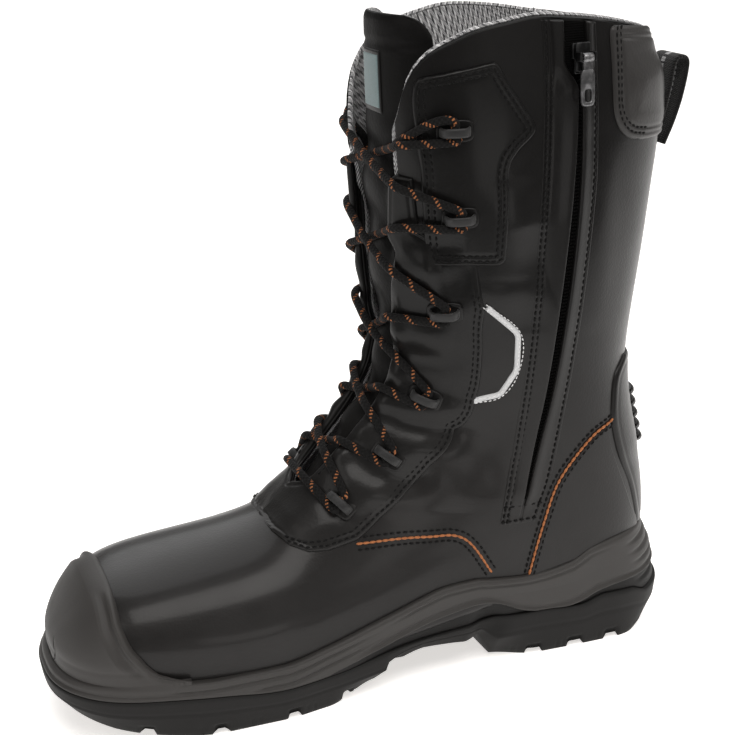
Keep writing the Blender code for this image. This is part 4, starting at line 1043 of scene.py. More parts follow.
def footbed_finish(name, colour):
    """Felted footbed."""
    made = Finish(name, Roughness=0.95, Specular_IOR_Level=0.15, Sheen_Weight=0.2)
    where = made.place()
    felt = made.noise(where, 700.0, 5.0, 0.7)
    made.set(Base_Color=made.mix(felt, scaled(colour, 0.5), scaled(colour, 1.6)))
    made.bump(felt, 0.5, 0.0005)
    return made.material


FINISHES = {}


def finish(name):
    """Finish by name, made once."""
    if name in FINISHES:
        return FINISHES[name]
    c = colours()
    makers = {
        "leather": lambda: leather_finish("polished_leather", c.leather),
        "panel": lambda: leather_finish("panel_leather", c.panel, 0.33, 0.14, 0.36, 800.0),
        # The collar pad is the panel leather painted six times paler: painted light standing in for the
        # reflection of a lamp behind the heel.
        "pad": lambda: leather_finish("pad_leather_painted_light", scaled(c.panel, 6.0), 0.42, 0.18, 0.5, 700.0),
        "tongue": lambda: leather_finish("tongue_leather", c.panel, 0.50, 0.03, 0.5, 650.0, 0.06),
        "rubber": lambda: rubber_finish("moulded_rubber", c.rubber),
        "tread": lambda: rubber_finish("tread_rubber", c.tread, 0.66, 0.15, 0.28),
        "cloth": lambda: cloth_finish("herringbone_lining", c.cloth_light, c.cloth_dark),
        "lace": lambda: lace_finish("braided_lace", c.lace, c.orange),
        "webbing": lambda: webbing_finish("ribbed_webbing", scaled(c.lace, 1.2), scaled(c.cloth_light, 0.6)),
        "tape": lambda: tape_finish("zip_tape", scaled(c.lace, 0.6)),
        "metal": lambda: metal_finish("plated_metal", c.metal),
        "slider": lambda: metal_finish("black_plated_metal", scaled(c.metal, 0.16)),
        "teeth": lambda: tape_finish("zip_teeth", scaled(c.lace, 0.8)),
        "thread": lambda: thread_finish("black_thread", scaled(c.panel, 0.9)),
        "orange": lambda: thread_finish("orange_thread", c.orange),
        "pale": lambda: thread_finish("pale_thread", scaled(c.cloth_light, 1.1)),
        "trim": lambda: trim_finish("reflective_strip", c.trim),
        "satin": lambda: satin_finish("satin_band", c.loop),
        "label": lambda: satin_finish("bare_label", c.label),
        "footbed": lambda: footbed_finish("felt_footbed", scaled(c.cloth_dark, 1.2)),
    }
    FINISHES[name] = makers[name]()
    return FINISHES[name]


# Upper

def wall_grid(rows, columns, side, inwards=0.0, top_up=0.0):
    """Section numbers and shares round of one side of the upper's wall.

    The outer side's front edge stands further forward at the top and its collar lower.
    """
    tip = 1.0 - np.cos(np.linspace(0.0, np.pi / 2.0, 14))
    low = np.concatenate([tip[:-1] * 0.6, np.linspace(1.2, TOP_FROM, rows)])
    low = np.sort(np.concatenate([low, [6.6, 6.63, 6.68, 6.75, 6.85]]))
    raised = smooth_step((low - 14.4) / 0.5)
    start = throat_edge(low, inwards * raised - (2.6 * (1.0 - raised) if inwards else 0.0))
    stop = LAST.around_seat(low, wall_seat)
    share = np.linspace(0.0, 1.0, columns)
    share = np.sort(np.concatenate([share, [0.004, 0.010, 0.018]]))
    around = start[:, None] + (stop - start)[:, None] * share[None, :]
    along = np.repeat(low[:, None], len(share), axis=1)
    lean = 0.052 * (1.0 - share) ** 3 if side < 0 else np.zeros(len(share))
    drop = 3.0 * smooth_step((1.0 - around[-1]) / 0.3) + 6.0 * (1.0 - share) ** 6 if side < 0 else 0.0
    top = LAST.collar_edge(around[-1] - lean, drop, 70.0 * lean) + top_up
    climb = np.concatenate([np.linspace(0.0, 0.96, 42)[1:], [0.972, 0.984, 0.993, 1.0]])[:, None]
    rise = TOP_FROM + climb * (top - TOP_FROM)[None, :]
    along = np.vstack([along, rise])
    around = np.vstack([around, around[-1:] - lean[None, :] * smooth_step((rise - 15.1) / 1.2)])
    return along, around, len(low)


def wall_shell(stock, grids, outer_lift, inner_lift, rim=0.0):
    """Both sides of a wall as one closed shell, with rolled edges; rim thickens its free edges."""
    for (along, around, low), side in zip(grids, (1, -1)):
        thick = np.zeros(along.shape)
        thick[-3:] = rim
        thick[low - 4:, :3] = rim
        outer = LAST.point(along, around * side, outer_lift + thick)
        inner = LAST.point(along, around * side, inner_lift - 0.3 * thick)
        uv = surface_map(LAST.surface(along, around))
        stock.grid(outer, side < 0, 0, uv)
        stock.grid(inner, side > 0, 0, uv)
        gaps = np.nonzero(around[:, 0] > 1e-6)[0]
        first = max(gaps[0] - 1, 0)
        away = unit(outer[first:, 0] - outer[first:, 2])
        edge = rolled(outer[first:, 0], inner[first:, 0], away)
        away_top = unit(outer[-1] - outer[-3])
        top = rolled(outer[-1], inner[-1], away_top)
        edge[-1] = top[0]
        lane = np.linspace(0.0, 1.6, edge.shape[1])[None, :, None]
        stock.grid(edge, side > 0, 0, uv[first:, :1] - lane)
        stock.grid(top, side < 0, 0, uv[-1][:, None] + lane)
        ends = np.nonzero(around[:low, -1] < 0.9999)[0]
        last = ends[-1] + 2
        low_edge = np.stack([outer[:last, -1], inner[:last, -1]], 1)
        stock.grid(low_edge, side < 0)


class BOOT_OT_upper(bpy.types.Operator):
    """Hollow leather upper with its creases"""
    bl_idname = "boot.upper"
    bl_label = "Upper"

    def execute(self, context):
        stock = Stock()
        wall_shell(stock, [wall_grid(186, 90, side) for side, _ in SIDES], 0.0, -sizes().leather / MM)
        settle(stock.piece("upper_leather", finish("leather")), "leather", "upper")
        return {"FINISHED"}


class BOOT_OT_lining(bpy.types.Operator):
    """Woven lining inside the upper, and the felt footbed"""
    bl_idname = "boot.lining"
    bl_label = "Lining and footbed"

    def execute(self, context):
        skin = sizes().leather / MM
        stock = Stock()
        grids = [wall_grid(88, 54, side, 1.5, 0.045) for side, _ in SIDES]
        wall_shell(stock, grids, -skin - 0.02, -skin - sizes().lining / MM, 0.8)
        settle(stock.piece("lining", finish("cloth")), "lining")

        stock = Stock()
        along = np.linspace(1.5, 9.5, 60)
        seat = LAST.around_seat(along, wall_seat)
        share = 1.0 - np.linspace(0.0, 1.0, 24) ** 2
        for side in (1, -1):
            half = np.abs(LAST.surface(along, seat * side)[:, 1]) - 4.6
            across = LAST.around_below(along[:, None], half[:, None] * share[None, :], side)
            rows = np.repeat(along[:, None], len(share), 1)
            spots = LAST.surface(rows, across)
            border = np.vstack([spots[:, 0], spots[0], spots[-1]])
            rise = 4.2 * dome(near(spots, border), 2.4) + 0.5
            under = LAST.surface(rows, across * side) + np.array([0.0, 0.0, 0.5])
            over = LAST.surface(rows, across * side)
            over[..., 2] += rise
            stock.grid(over, side > 0)
            stock.grid(under, side < 0)
        settle(stock.piece("footbed", finish("footbed"), outwards=True), "lining", "insole")
        return {"FINISHED"}


# Sole and toe cap

def sole_stations():
    """Places along the sole, closer at its round ends."""
    heel = HEEL_ROUND * (1.0 - np.cos(np.linspace(0.0, np.pi / 2.0, 30)))
    toe = TOE_ROUND + (SOLE_LENGTH - TOE_ROUND) * np.sin(np.linspace(0.0, np.pi / 2.0, 50))
    return np.concatenate([heel[:-1], np.linspace(HEEL_ROUND, TOE_ROUND, 165)[:-1], toe])


def sole_edges(x, widths, rim=False):
    """Inner and outer side of the sole at places along it."""
    heel = np.sqrt(np.clip(1.0 - np.clip((HEEL_ROUND - x) / HEEL_ROUND, 0.0, 1.0) ** 2, 0.0, 1.0))
    toe = np.clip((x - TOE_ROUND) / (SOLE_LENGTH - TOE_ROUND), 0.0, 1.0)
    narrow = heel * np.clip(1.0 - toe ** 2.6, 0.0, 1.0) ** (1.0 / 2.6)
    tip = TOE_TIP_Y * smooth_step((x - 150.0) / 150.0)
    medial = tip + (eased(SOLE_ROWS, x, widths) - tip) * narrow
    lateral = tip - (eased(SOLE_ROWS, x, widths + 1) + tip) * narrow
    place = RIM_BACK + x / SOLE_LENGTH * (RIM_FRONT - RIM_BACK) if rim else x
    place = place + 1.6 * smooth_step((x - 262.0) / 49.0) + 2.3 * smooth_step((34.0 - x) / 34.0)
    return place, medial, lateral


def sole_ring(x, widths, rim=False):
    """Closed outline of the sole, inner side first, with its inward directions."""
    place, medial, lateral = sole_edges(x, widths, rim)
    edge = np.concatenate([np.stack([place, medial], 1), np.stack([place, lateral], 1)[-2:0:-1]])
    ahead = unit(np.roll(edge, -1, axis=0) - np.roll(edge, 1, axis=0))
    return edge, np.stack([ahead[:, 1], -ahead[:, 0]], 1)


def around_ring(x):
    """Place along the sole for each point of its outline."""
    return np.concatenate([x, x[-2:0:-1]])


def line_groove(distance, half_width):
    """Soft groove across a distance from its line."""
    return np.exp(-(distance / half_width) ** 2)


def waist_scoop(reach, z):
    """Round recess in the sole's side, just in front of the heel."""
    return 3.0 * np.exp(-(((reach - 109.0) / 8.0) ** 2 + ((z - 21.5) / 8.0) ** 2) ** 1.5)


def midsole_side(levels):
    """Rings of the midsole's side at shares of its height, with its moulded lines."""
    x = sole_stations()
    reach = around_ring(x)
    side_edge, side_in = sole_ring(x, 1)
    rim_edge, rim_in = sole_ring(x, 3, True)
    inwards = unit(side_in + rim_in)
    low = eased(SOLE_ROWS, reach, 6) + 0.3
    high = eased(SOLE_ROWS, reach, 7)
    front = smooth_step((reach - 158.0) / 30.0)
    heel = smooth_step((32.0 - reach) / 18.0)
    rear = smooth_step((165.0 - reach) / 20.0) * smooth_step((reach - 30.0) / 30.0)
    wave = eased(WAVE_ROWS, reach)
    waist = smooth_step((186.0 - reach) / 24.0)
    rings = []
    for level in levels:
        z = low + (high - low) * level
        lean = np.interp(level, (0.0, 0.55, 0.9, 1.0), (0.0, 0.45, 1.0, 1.0))
        inset = np.interp(
            level, (0.0, 0.03, 0.10, 0.9, 0.95, 0.985, 1.0), (0.6, 0.35, 0.15, 0.0, 0.25, 0.9, 1.9)
        )
        depth = inset + waist_scoop(reach, z)
        for below, cut in ((4.4, 0.80), (8.8, 0.75)):
            room = smooth_step((high - low - below - 0.8) / 1.5)
            depth = depth + cut * front * room * line_groove(high - below - z, 0.8)
        for line in (27.5, 33.0, 38.5, 44.0, 49.5):
            depth = depth + 1.1 * heel * line_groove(z - line, 1.0)
        depth = depth + 0.7 * rear * line_groove(high - 3.6 - z, 0.8)
        depth = depth + waist * (
            1.1 * (1.0 - smooth_step((z - wave + 0.8) / 1.2)) - 0.6 * line_groove(z - wave - 0.6, 0.8)
            + 0.5 * line_groove(z - wave - 2.6, 0.8)
        )
        edge = side_edge * (1.0 - lean) + rim_edge * lean + inwards * depth[:, None]
        rings.append(np.column_stack([edge, z]))
    return rings, inwards


def below_wave(mesh):
    """Darker second finish on the midsole's side below its wave line."""
    middle = np.empty(len(mesh.polygons) * 3)
    mesh.polygons.foreach_get("center", middle)
    middle = middle.reshape(-1, 3) / MM
    skin = (middle[:, 2] < eased(WAVE_ROWS, middle[:, 0] + HEEL_SETBACK) - 0.3).astype(np.int32)
    mesh.polygons.foreach_set("material_index", skin)


class BOOT_OT_midsole(bpy.types.Operator):
    """Moulded midsole with its lines, heel ridges and wave line"""
    bl_idname = "boot.midsole"
    bl_label = "Midsole"

    def execute(self, context):
        rings, inwards = midsole_side(
            np.concatenate([np.linspace(0.0, 0.9, 62), np.linspace(0.9, 1.0, 9)[1:]])
        )
        low, high = rings[0], rings[-1]
        for inset, drop in ((1.3, 0.05), (2.7, 0.2), (4.0, 0.6), (5.2, 3.0), (5.6, 9.0)):
            rings.append(
                np.column_stack(
                    [high[:, 0:2] + inwards * inset, np.maximum(high[:, 2] - drop, low[:, 2] + 2.0)]
                )
            )
        rings.append(np.column_stack([low[:, 0:2] + inwards * 6.9, low[:, 2] + 1.0]))
        rings.append(np.column_stack([low[:, 0:2] + inwards * 5.4, low[:, 2]]))
        rings.append(low)
        stock = Stock()
        stock.grid(np.stack(rings), True, wrap=True)
        piece = stock.piece("midsole_rubber", finish("rubber"), finish("tread"), outwards=True)
        below_wave(piece.data)
        settle(piece, "midsole", "midsole")
        return {"FINISHED"}


def tread_depth(x, y, medial, lateral):
    """Depth of the grooves and sipes in the tread at points of its underside."""
    depth = np.zeros(np.broadcast(x, y).shape)
    for at, width, slant, inner in GROOVE_ROWS:
        lean = math.tan(math.radians(slant))
        offset = np.abs(x - at - lean * (np.abs(y) - inner))
        wall = smooth_step((width / 2.0 + 0.5 - offset) / 1.2) * smooth_step((np.abs(y) - inner) / 2.0)
        depth = np.maximum(depth, GROOVE_DEPTH * wall)
    share = (y - lateral) / np.maximum(medial - lateral, 1.0)
    for start, stop in ((22.0, 98.0), (170.0, 292.0)):
        inside = smooth_step((x - start) / 4.0) * smooth_step((stop - x) / 4.0)
        zig = 0.5 + 0.10 * np.sin(x / 4.2)
        depth = np.maximum(
            depth,
            2.4 * inside * smooth_step((2.0 - np.abs(y - (lateral + zig * (medial - lateral)))) / 0.9)
        )
        for lane in (0.20, 0.80):
            depth = np.maximum(
                depth, 1.6 * inside * smooth_step((1.1 - np.abs(share - lane) * (medial - lateral)) / 0.7)
            )
        cross = np.abs(((x - start) % 13.4) - 6.7)
        depth = np.maximum(
            depth,
            1.4 * inside * smooth_step((1.0 - cross) / 0.7) * smooth_step((np.abs(y) - 6.0) / 3.0)
            * smooth_step((0.34 - np.abs(share - 0.5)) / 0.03)
        )
    return depth


class BOOT_OT_outsole(bpy.types.Operator):
    """Rubber outsole with heel, arch, lugs, notches and sipes"""
    bl_idname = "boot.outsole"
    bl_label = "Outsole"

    def execute(self, context):
        heel = HEEL_ROUND * (1.0 - np.cos(np.linspace(0.0, np.pi / 2.0, 50)))
        toe = TOE_ROUND + (SOLE_LENGTH - TOE_ROUND) * np.sin(np.linspace(0.0, np.pi / 2.0, 84))
        x = np.concatenate([heel[:-1], np.linspace(HEEL_ROUND, TOE_ROUND, 250)[:-1], toe])
        reach = around_ring(x)
        edge, inwards = sole_ring(x, 1)
        ground = eased(SOLE_ROWS, reach, 5)
        ground = straight(SOLE_ROWS, reach, 5) * 0.5 + ground * 0.5
        wave = eased(SOLE_ROWS, reach, 6)
        inset = 2.6 + 5.4 * smooth_step((reach - 255.0) / 50.0) + 5.0 * smooth_step((36.0 - reach) / 34.0)
        inset = inset + 9.0 * smooth_step((reach - 82.0) / 24.0) * smooth_step((122.0 - reach) / 14.0)
        inset = inset + 13.0 * smooth_step((192.0 - reach) / 30.0) * smooth_step((reach - 152.0) / 10.0)
        foot = edge + inwards * inset[:, None]
        sipes = sum(line_groove(reach - at, 0.55) for at in SIPE_ROWS)
        half = len(x)
        medial = foot[:half]
        lateral = np.vstack([foot[:1], foot[half:][::-1], foot[half - 1:half]])
        notch = tread_depth(foot[:, 0], foot[:, 1], np.full(len(foot), 46.0), np.full(len(foot), -46.0))
        notch = notch * smooth_step((10.0 - ground) / 4.0)
        rings = [np.column_stack([foot, ground + notch])]
        for share in np.concatenate([np.linspace(0.04, 0.55, 12), np.linspace(0.6, 1.0, 12)]):
            out = np.interp(share, (0.0, 0.08, 0.55, 0.93, 1.0), (1.0, 0.72, 0.0, 0.0, 0.0))
            over = np.interp(share, (0.0, 0.55, 0.92, 0.97, 1.0), (0.0, 0.7, 0.0, 0.15, 0.5))
            depth = inset * out + over
            z = ground + (wave - ground) * share
            low = smooth_step((5.6 - z + ground) / 1.2)
            z = z + notch * np.clip(1.0 - (z - ground) / 5.0, 0.0, 1.0)
            depth = depth + 1.3 * (notch / GROOVE_DEPTH) * low
            depth = depth + 0.3 * line_groove(share - 0.62, 0.035) + 0.4 * sipes * low
            depth = depth + waist_scoop(reach, z)
            rings.append(np.column_stack([edge + inwards * depth[:, None], z]))
        rings.append(np.column_stack([edge + inwards * 4.0, wave]))
        stock = Stock()
        stock.grid(np.stack(rings), True, wrap=True)
        lane = np.linspace(0.0, 1.0, 66)
        across = medial[:, None] * (1.0 - lane[None, :, None]) + lateral[:, None] * lane[None, :, None]
        deep = tread_depth(
            across[..., 0], across[..., 1], np.repeat(medial[:, 1:2], 66, 1),
            np.repeat(lateral[:, 1:2], 66, 1)
        )
        flat = ground[:half, None] + deep * smooth_step((10.0 - ground[:half]) / 4.0)[:, None]
        flat[:, 0] = rings[0][:half, 2]
        flat[:, -1] = np.concatenate([rings[0][:1, 2], rings[0][half:, 2][::-1], rings[0][half - 1:half, 2]])
        stock.grid(np.concatenate([across, flat[..., None]], 2), False)
        top = rings[-1]
        top_lateral = np.vstack([top[:1], top[half:][::-1], top[half - 1:half]])
        lane = np.linspace(0.0, 1.0, 5)[None, :, None]
        stock.grid(top[:half, None] * (1.0 - lane) + top_lateral[:, None] * lane, True)
        settle(stock.piece("outsole_rubber", finish("tread"), outwards=True), "tread", "outsole")
        return {"FINISHED"}


def cap_seat(x):
    """Level of the toe cap's seat at x."""
    return np.full(np.shape(x), TOE_CAP_SEAT)


def ring_points(ring, place):
    """Points of a ring at places between its numbers."""
    return np.stack([np.interp(place, np.arange(len(ring)), line) for line in ring.T], 1)


class BOOT_OT_toe_cap(bpy.types.Operator):
    """Moulded toe cap with its double bead, flowing down into the midsole's side"""
    bl_idname = "boot.toe_cap"
    bl_label = "Toe cap"

    def execute(self, context):
        share = np.linspace(0.0, 1.0, 78)
        share = 0.5 * share + 0.5 * np.sin(share * np.pi / 2.0)
        steps = np.concatenate([np.linspace(0.0, 0.74, 30) ** 0.8 * 0.74 ** 0.2, np.linspace(0.745, 1.0, 50)])
        probe = np.linspace(0.0, TOE_CAP_ROWS[-1][1], 1500)
        foot = LAST.surface(probe, LAST.around_seat(probe, cap_seat))
        first = np.argmax(foot[:, 2] < TOE_CAP_SEAT + 0.6) / 1499.0
        steps = np.unique(np.concatenate([steps, first + 0.05 * np.linspace(0.0, 1.0, 12) ** 2]))
        along = steps[:, None] * eased(TOE_CAP_ROWS, share)[None, :]
        stop = LAST.around_seat(along.ravel(), cap_seat).reshape(along.shape)
        around = share[None, :] * stop
        rings, inwards = midsole_side((0.955, 0.86, 0.74, 0.60, 0.46, 0.32, 0.18))
        fine = np.linspace(0.0, len(rings[0]) - 1.0, 9000)
        rim = ring_points(rings[0][:, 0:2], fine)
        stock, halves = Stock(), []
        for side in (1, -1):
            spots = LAST.surface(along, around * side)
            reach = near(spots, spots[-1])
            lift = straight(TOE_CAP_PROFILE, reach)
            sides = smooth_step((share - 0.30) / 0.25)[None, :]
            plain = np.interp(
                reach, (0.0, 0.4, 1.1, 2.0, 4.0, 9.0, 60.0), (-0.3, 0.7, 1.3, 1.6, 2.0, 2.9, 3.7)
            )
            lift = lift * sides + plain * (1.0 - sides)
            seated = spots[:, -1, 2] < TOE_CAP_SEAT + 0.6
            start, lane = spots[seated, -1][0], np.linspace(0.0, 1.0, 14)
            tip = start[0] + (spots[0, 0, 0] - start[0]) * np.sqrt(lane * (2.0 - lane))
            bridge = np.stack([tip, start[1] * (1.0 - lane), np.full(14, start[2])], 1)
            seat = near(spots, np.vstack([spots[seated, -1], bridge]))
            calm = np.interp(reach, (0.0, 0.4, 1.1, 2.2, 60.0), (-0.3, 0.9, 1.7, 2.1, 2.6))
            lift = calm + (lift - calm) * smooth_step((seat - 1.5) / 9.0)
            lift = lift - 0.3 * line_groove(seat - 6.0, 1.2) + 0.8 * np.exp(-(along / 0.9) ** 2)
            lift = (lift + 0.3) * smooth_step((3.62 - along) / 0.5) - 0.3
            outer = LAST.point(along, around * side, lift)
            inner = LAST.point(along, around * side, np.full(along.shape, -0.3))
            place = fine[((outer[:, -1, None, 0:2] - rim[None]) ** 2).sum(2).argmin(1)]
            skirt = [ring_points(ring, place) for ring in rings]
            out = np.column_stack([-ring_points(inwards[:, 0:2], place), np.zeros(len(place))])
            pull = (skirt[0] + out * 0.3 - outer[:, -1]) * np.array([1.0, 1.0, 0.0])
            halves.append((side, outer, inner, seat, skirt, out, outer[seated, -1], pull[seated]))
        feet = np.vstack([half[6] for half in halves])
        pulls = np.vstack([half[7] for half in halves])
        for side, outer, inner, seat, skirt, out, _, _ in halves:
            gap = ((outer[:, :, None] - feet[None, None]) ** 2).sum(3)
            weight = 1.0 / (gap + 4.0) ** 3
            pull = (weight @ pulls) / weight.sum(2)[..., None]
            outer = outer + pull * ((1.0 - np.clip(seat / 30.0, 0.0, 1.0)) ** 1.15)[..., None]
            offsets = (0.28, 0.27, 0.25, 0.20, 0.10, -0.3)
            end = smooth_step((steps - 0.88) / 0.12)[:, None]
            lines = [(line + out * (o - (o + 0.35) * end))[:, None] for line, o in zip(skirt[1:], offsets)]
            outer = np.concatenate([outer] + lines, 1)
            inner = np.concatenate([inner] + [(line - out * 1.2)[:, None] for line in skirt[1:]], 1)
            stock.grid(outer, side < 0)
            stock.grid(inner, side > 0)
            stock.grid(np.stack([outer[:, -1], inner[:, -1]], 1), side < 0)
            stock.grid(np.stack([outer[-1, len(share) - 1:], inner[-1, len(share) - 1:]], 1), side > 0)
        settle(stock.piece("toe_cap_rubber", finish("rubber"), weld=0.03), "toe_cap", "toe_cap")
        return {"FINISHED"}


# Panels on the leather

FACING_TOP = 15.5


def facing_grid():
    """Section numbers and shares round of one side of the facing."""
    low = np.linspace(FACING_ROWS[0][0], 6.6, 56)
    rows = np.concatenate([low, np.linspace(6.6, FACING_TOP, 205)[1:]])
    rows = np.sort(np.concatenate([rows, [FACING_TOP - 0.06, FACING_TOP - 0.03, FACING_TOP - 0.015]]))
    tab = 4.0 * smooth_step((rows - 13.6) / 0.5)
    start = throat_edge(rows, 0.6 + tab)
    stop = straight(FACING_ROWS, rows)
    corner = 1.0 - np.sqrt(np.clip(1.0 - np.clip((rows - FACING_TOP + 0.28) / 0.28, 0.0, 1.0) ** 2, 0.0, 1.0))
    start = start + (stop - start) * 0.45 * corner
    share = spread(26.0, 0.8)[None, :]
    around = start[:, None] * (1.0 - share) + stop[:, None] * share
    return np.repeat(rows[:, None], share.shape[1], 1), around, rows


def facing_lift(spots):
    """Height of the facing, thinner where it crosses the ridge of the vamp."""
    ridge = (
        1.0 - smooth_step((np.abs(spots[..., 1]) - 6.0) / 14.0)
    ) * smooth_step((spots[..., 0] - 172.0) / 14.0)
    return 2.75 - 1.45 * ridge


def strip_seam(reach, spots):
    """Dip of the heel strip along its seam."""
    return -0.25 * line_groove(reach - 4.0, 1.0)


def eyestay_seams(reach, spots):
    """Dips of an eyestay along its two seams."""
    return -0.3 * line_groove(reach - 2.2, 0.6) - 0.3 * line_groove(reach - 4.6, 0.6)


def facing_edge(reach):
    """How much lower the facing lies near its outer border."""
    return 1.3 * (1.0 - smooth_step((reach - 1.0) / 11.0))


def loop_number(along):
    """Number of the lace loop at a section, with parts between loops."""
    places = [float(LAST.locate(x, z)[0]) for x, z, _ in LOOP_ROWS]
    return np.interp(along, places, np.arange(len(LOOP_ROWS)))


def facing_puff(along, reach):
    """Rolls of the facing's throat edge between the crossings of the lace."""
    beat = loop_number(along)
    roll = 0.8 * (1.0 + np.cos(4.0 * np.pi * beat)) * np.exp(-((reach - 4.0) / 4.0) ** 2)
    return roll * smooth_step((along - 7.0) / 0.6) * smooth_step((13.6 - along) / 0.5)


def eyestay_top(along, around):
    """Height of the eyestay: its front lies over the facing."""
    return 1.8 + 1.9 * smooth_step((0.168 - np.abs(around)) / 0.018) * smooth_step((15.66 - along) / 0.12)


class BOOT_OT_facing(bpy.types.Operator):
    """Raised facing round the throat, puckered by the lace"""
    bl_idname = "boot.facing"
    bl_label = "Facing"

    def execute(self, context):
        along, around, rows = facing_grid()
        stock = Stock()
        for side in (1, -1):
            free = {"start": rows > 6.59, "stop": True, "first": True, "last": True}
            spots = LAST.surface(along, around)
            top = facing_lift(spots) - facing_edge(near(spots, spots[:, -1])) + facing_puff(
                along, near(spots, spots[rows > 6.59, 0])
            )
            under = smooth_step((spots[..., 2] - 176.0) / 22.0) * smooth_step((around - 0.156) / 0.035)
            quilt(
                stock, along, around, side, top * (1.0 - under) + 0.4 * under, 1.8, free=free,
                swell=lambda reach, spots: facing_swell(reach, spots) * (1.0 - under)
            )
        settle(stock.piece("facing_leather", finish("panel"), weld=0.02), "facing", "facing")
        return {"FINISHED"}


def facing_swell(reach, spots):
    """Bulges of the facing between the lace loops, and its sunk double seam."""
    swell = np.zeros(reach.shape)
    inner = smooth_step(reach / 5.0)
    for (x0, z0, _), (x1, z1, _) in zip(LOOP_ROWS, LOOP_ROWS[1:]):
        x, z = 0.5 * (x0 + x1) + 4.0, 0.5 * (z0 + z1) + 2.0
        swell += 1.5 * inner * np.exp(-((spots[..., 0] - x) ** 2 + (spots[..., 2] - z) ** 2) / 13.0 ** 2)
    return swell - 0.35 * line_groove(reach - 2.6, 0.7)


class BOOT_OT_side_panels(bpy.types.Operator):
    """Eyestays and heel counters on both sides"""
    bl_idname = "boot.side_panels"
    bl_label = "Eyestays and counters"

    def execute(self, context):
        for side, label in SIDES:
            stock = Stock()
            along, around = crossing_rows(EYESTAY_ROWS, 110, 0.9)
            quilt(stock, along, around, side, eyestay_top(along, around), 1.3, swell=eyestay_seams)
            settle(stock.piece("eyestay_leather_" + label, finish("panel")), "eyestay", "eyestay_" + label)

            stock = Stock()
            along, around = crossing_rows(COUNTER_ROWS, 100, 0.9)
            quilt(stock, along, around, side, 0.9, 1.4, free=("start", "last"))
            rim_close(stock, along, around, side, 0.9)
            settle(
                stock.piece("counter_leather_" + label, finish("leather"), weld=0.02), "counter",
                "counter_" + label
            )
        return {"FINISHED"}


def rim_close(stock, along, around, side, top):
    """Plain walls on the borders of a panel that lie under its neighbours."""
    ring = [(along[0], around[0]), (along[:, -1], around[:, -1])]
    for number, (rows, shares) in enumerate(ring):
        spots = LAST.surface(along, around)
        border = np.vstack([spots[:, 0], spots[-1]])
        line = LAST.surface(rows, shares)
        lift = PANEL_BASE + (top - PANEL_BASE) * dome(near(line, border), 1.4)
        outer = LAST.point(rows, shares * side, lift)
        inner = LAST.point(rows, shares * side, np.full(rows.shape, PANEL_BASE))
        stock.grid(np.stack([outer, inner], 1), (side > 0) == (number == 0))


def back_grid(rows, count, step, width):
    """Section numbers and shares round of half a panel at the back seam."""
    table = flowing(rows, count)
    along, around = LAST.locate(table[:, 0], table[:, 1])
    seam = LAST.back_section(table[:, 2])
    share = np.concatenate([spread(width, step)[:-5], [1.0]])
    share = (share / share.max())[None, :]
    along = along[:, None] * (1.0 - share) + seam[:, None] * share
    across = around[:, None] * (1.0 - share) + share
    return along, across


class BOOT_OT_back_pieces(bpy.types.Operator):
    """Heel strip with ribs, padded collar and webbing pull loop"""
    bl_idname = "boot.back_pieces"
    bl_label = "Heel strip, collar pad and pull loop"

    def execute(self, context):
        stock = Stock()
        along, around = back_grid(STRIP_ROWS, 100, 1.1, 44.0)
        for side in (1, -1):
            rise = 0.9 + 0.8 * smooth_step((LAST.surface(along, around)[..., 2] - 86.0) / 14.0)
            quilt(stock, along, around, side, rise, 3.0, free=("start", "first", "last"), swell=strip_seam)
        for z in RIB_ROWS:
            half = np.linspace(-17.0, 17.0, 40)
            rows = LAST.back_section(np.full(40, z))
            shares = LAST.around_below(rows, np.abs(half), 1) * np.where(half < 0, -1.0, 1.0)
            ease = np.sqrt(np.clip(1.0 - np.abs(half / 17.4) ** 4, 0.02, 1.0))
            tube(stock, LAST.point(rows, shares, 1.4 + 1.2 * ease), 2.9 * ease, 14)
        settle(stock.piece("heel_strip_leather", finish("panel"), weld=0.02), "back_strip", "heel_strip")

        stock = Stock()
        along, around = back_grid(PAD_ROWS, 76, 1.2, 70.0)
        for side in (1, -1):
            quilt(stock, along, around, side, 1.9, 3.4, free=("start", "first", "last"), swell=pad_swell)
        pad = settle(stock.piece("collar_padding", finish("pad"), weld=0.02), "collar_pad", "collar_pad")

        stock = Stock()
        path = flowing(PULL_LOOP_ROWS, 120)
        turning = unit(np.gradient(path, axis=0))
        inwards = np.stack([turning[:, 1], -turning[:, 0]], 1)
        across = np.array([-10.0, -9.7, -9.0, -6.0, -2.0, 2.0, 6.0, 9.0, 9.7, 10.0])
        thick = np.array([0.0, 0.6, 0.85, 0.85, 0.85, 0.85, 0.85, 0.85, 0.6, 0.0])
        centre = path + inwards * 0.85
        run = lengths(np.column_stack([path, np.zeros(len(path))]))
        faces = []
        for turned in (-1.0, 1.0):
            lines = [centre + turned * inwards * t for t in thick]
            lines = [np.insert(line, 1, y, axis=1) for line, y in zip(lines, across)]
            faces.append(np.stack(lines, 1))
        outer, inner = faces
        uv = np.stack(np.broadcast_arrays(across[None, :] + 10.0, run[:, None]), -1)
        stock.grid(outer, True, 0, uv)
        stock.grid(inner, False, 0, uv)
        for end, flip in ((0, False), (-1, True)):
            stock.grid(np.stack([outer[end], inner[end]], 0), flip)
        settle(stock.piece("pull_loop_webbing", finish("webbing"), outwards=True), "webbing", "pull_loop")
        return {"FINISHED"}


def pad_swell(reach, spots):
    """Sunk double seam of the collar pad, and soft rings where it folds round the heel."""
    seam = -0.5 * line_groove(reach - 3.0, 0.8) - 0.5 * line_groove(reach - 5.4, 0.8)
    crown = 1.0 * smooth_step((reach - 6.0) / 14.0)
    folds = 0.4 * np.sin((spots[..., 2] - 245.0) / 3.4) * smooth_step((reach - 7.0) / 6.0)
    return seam + crown + folds * smooth_step((spots[..., 2] - 248.0) / 10.0)


# Tongue

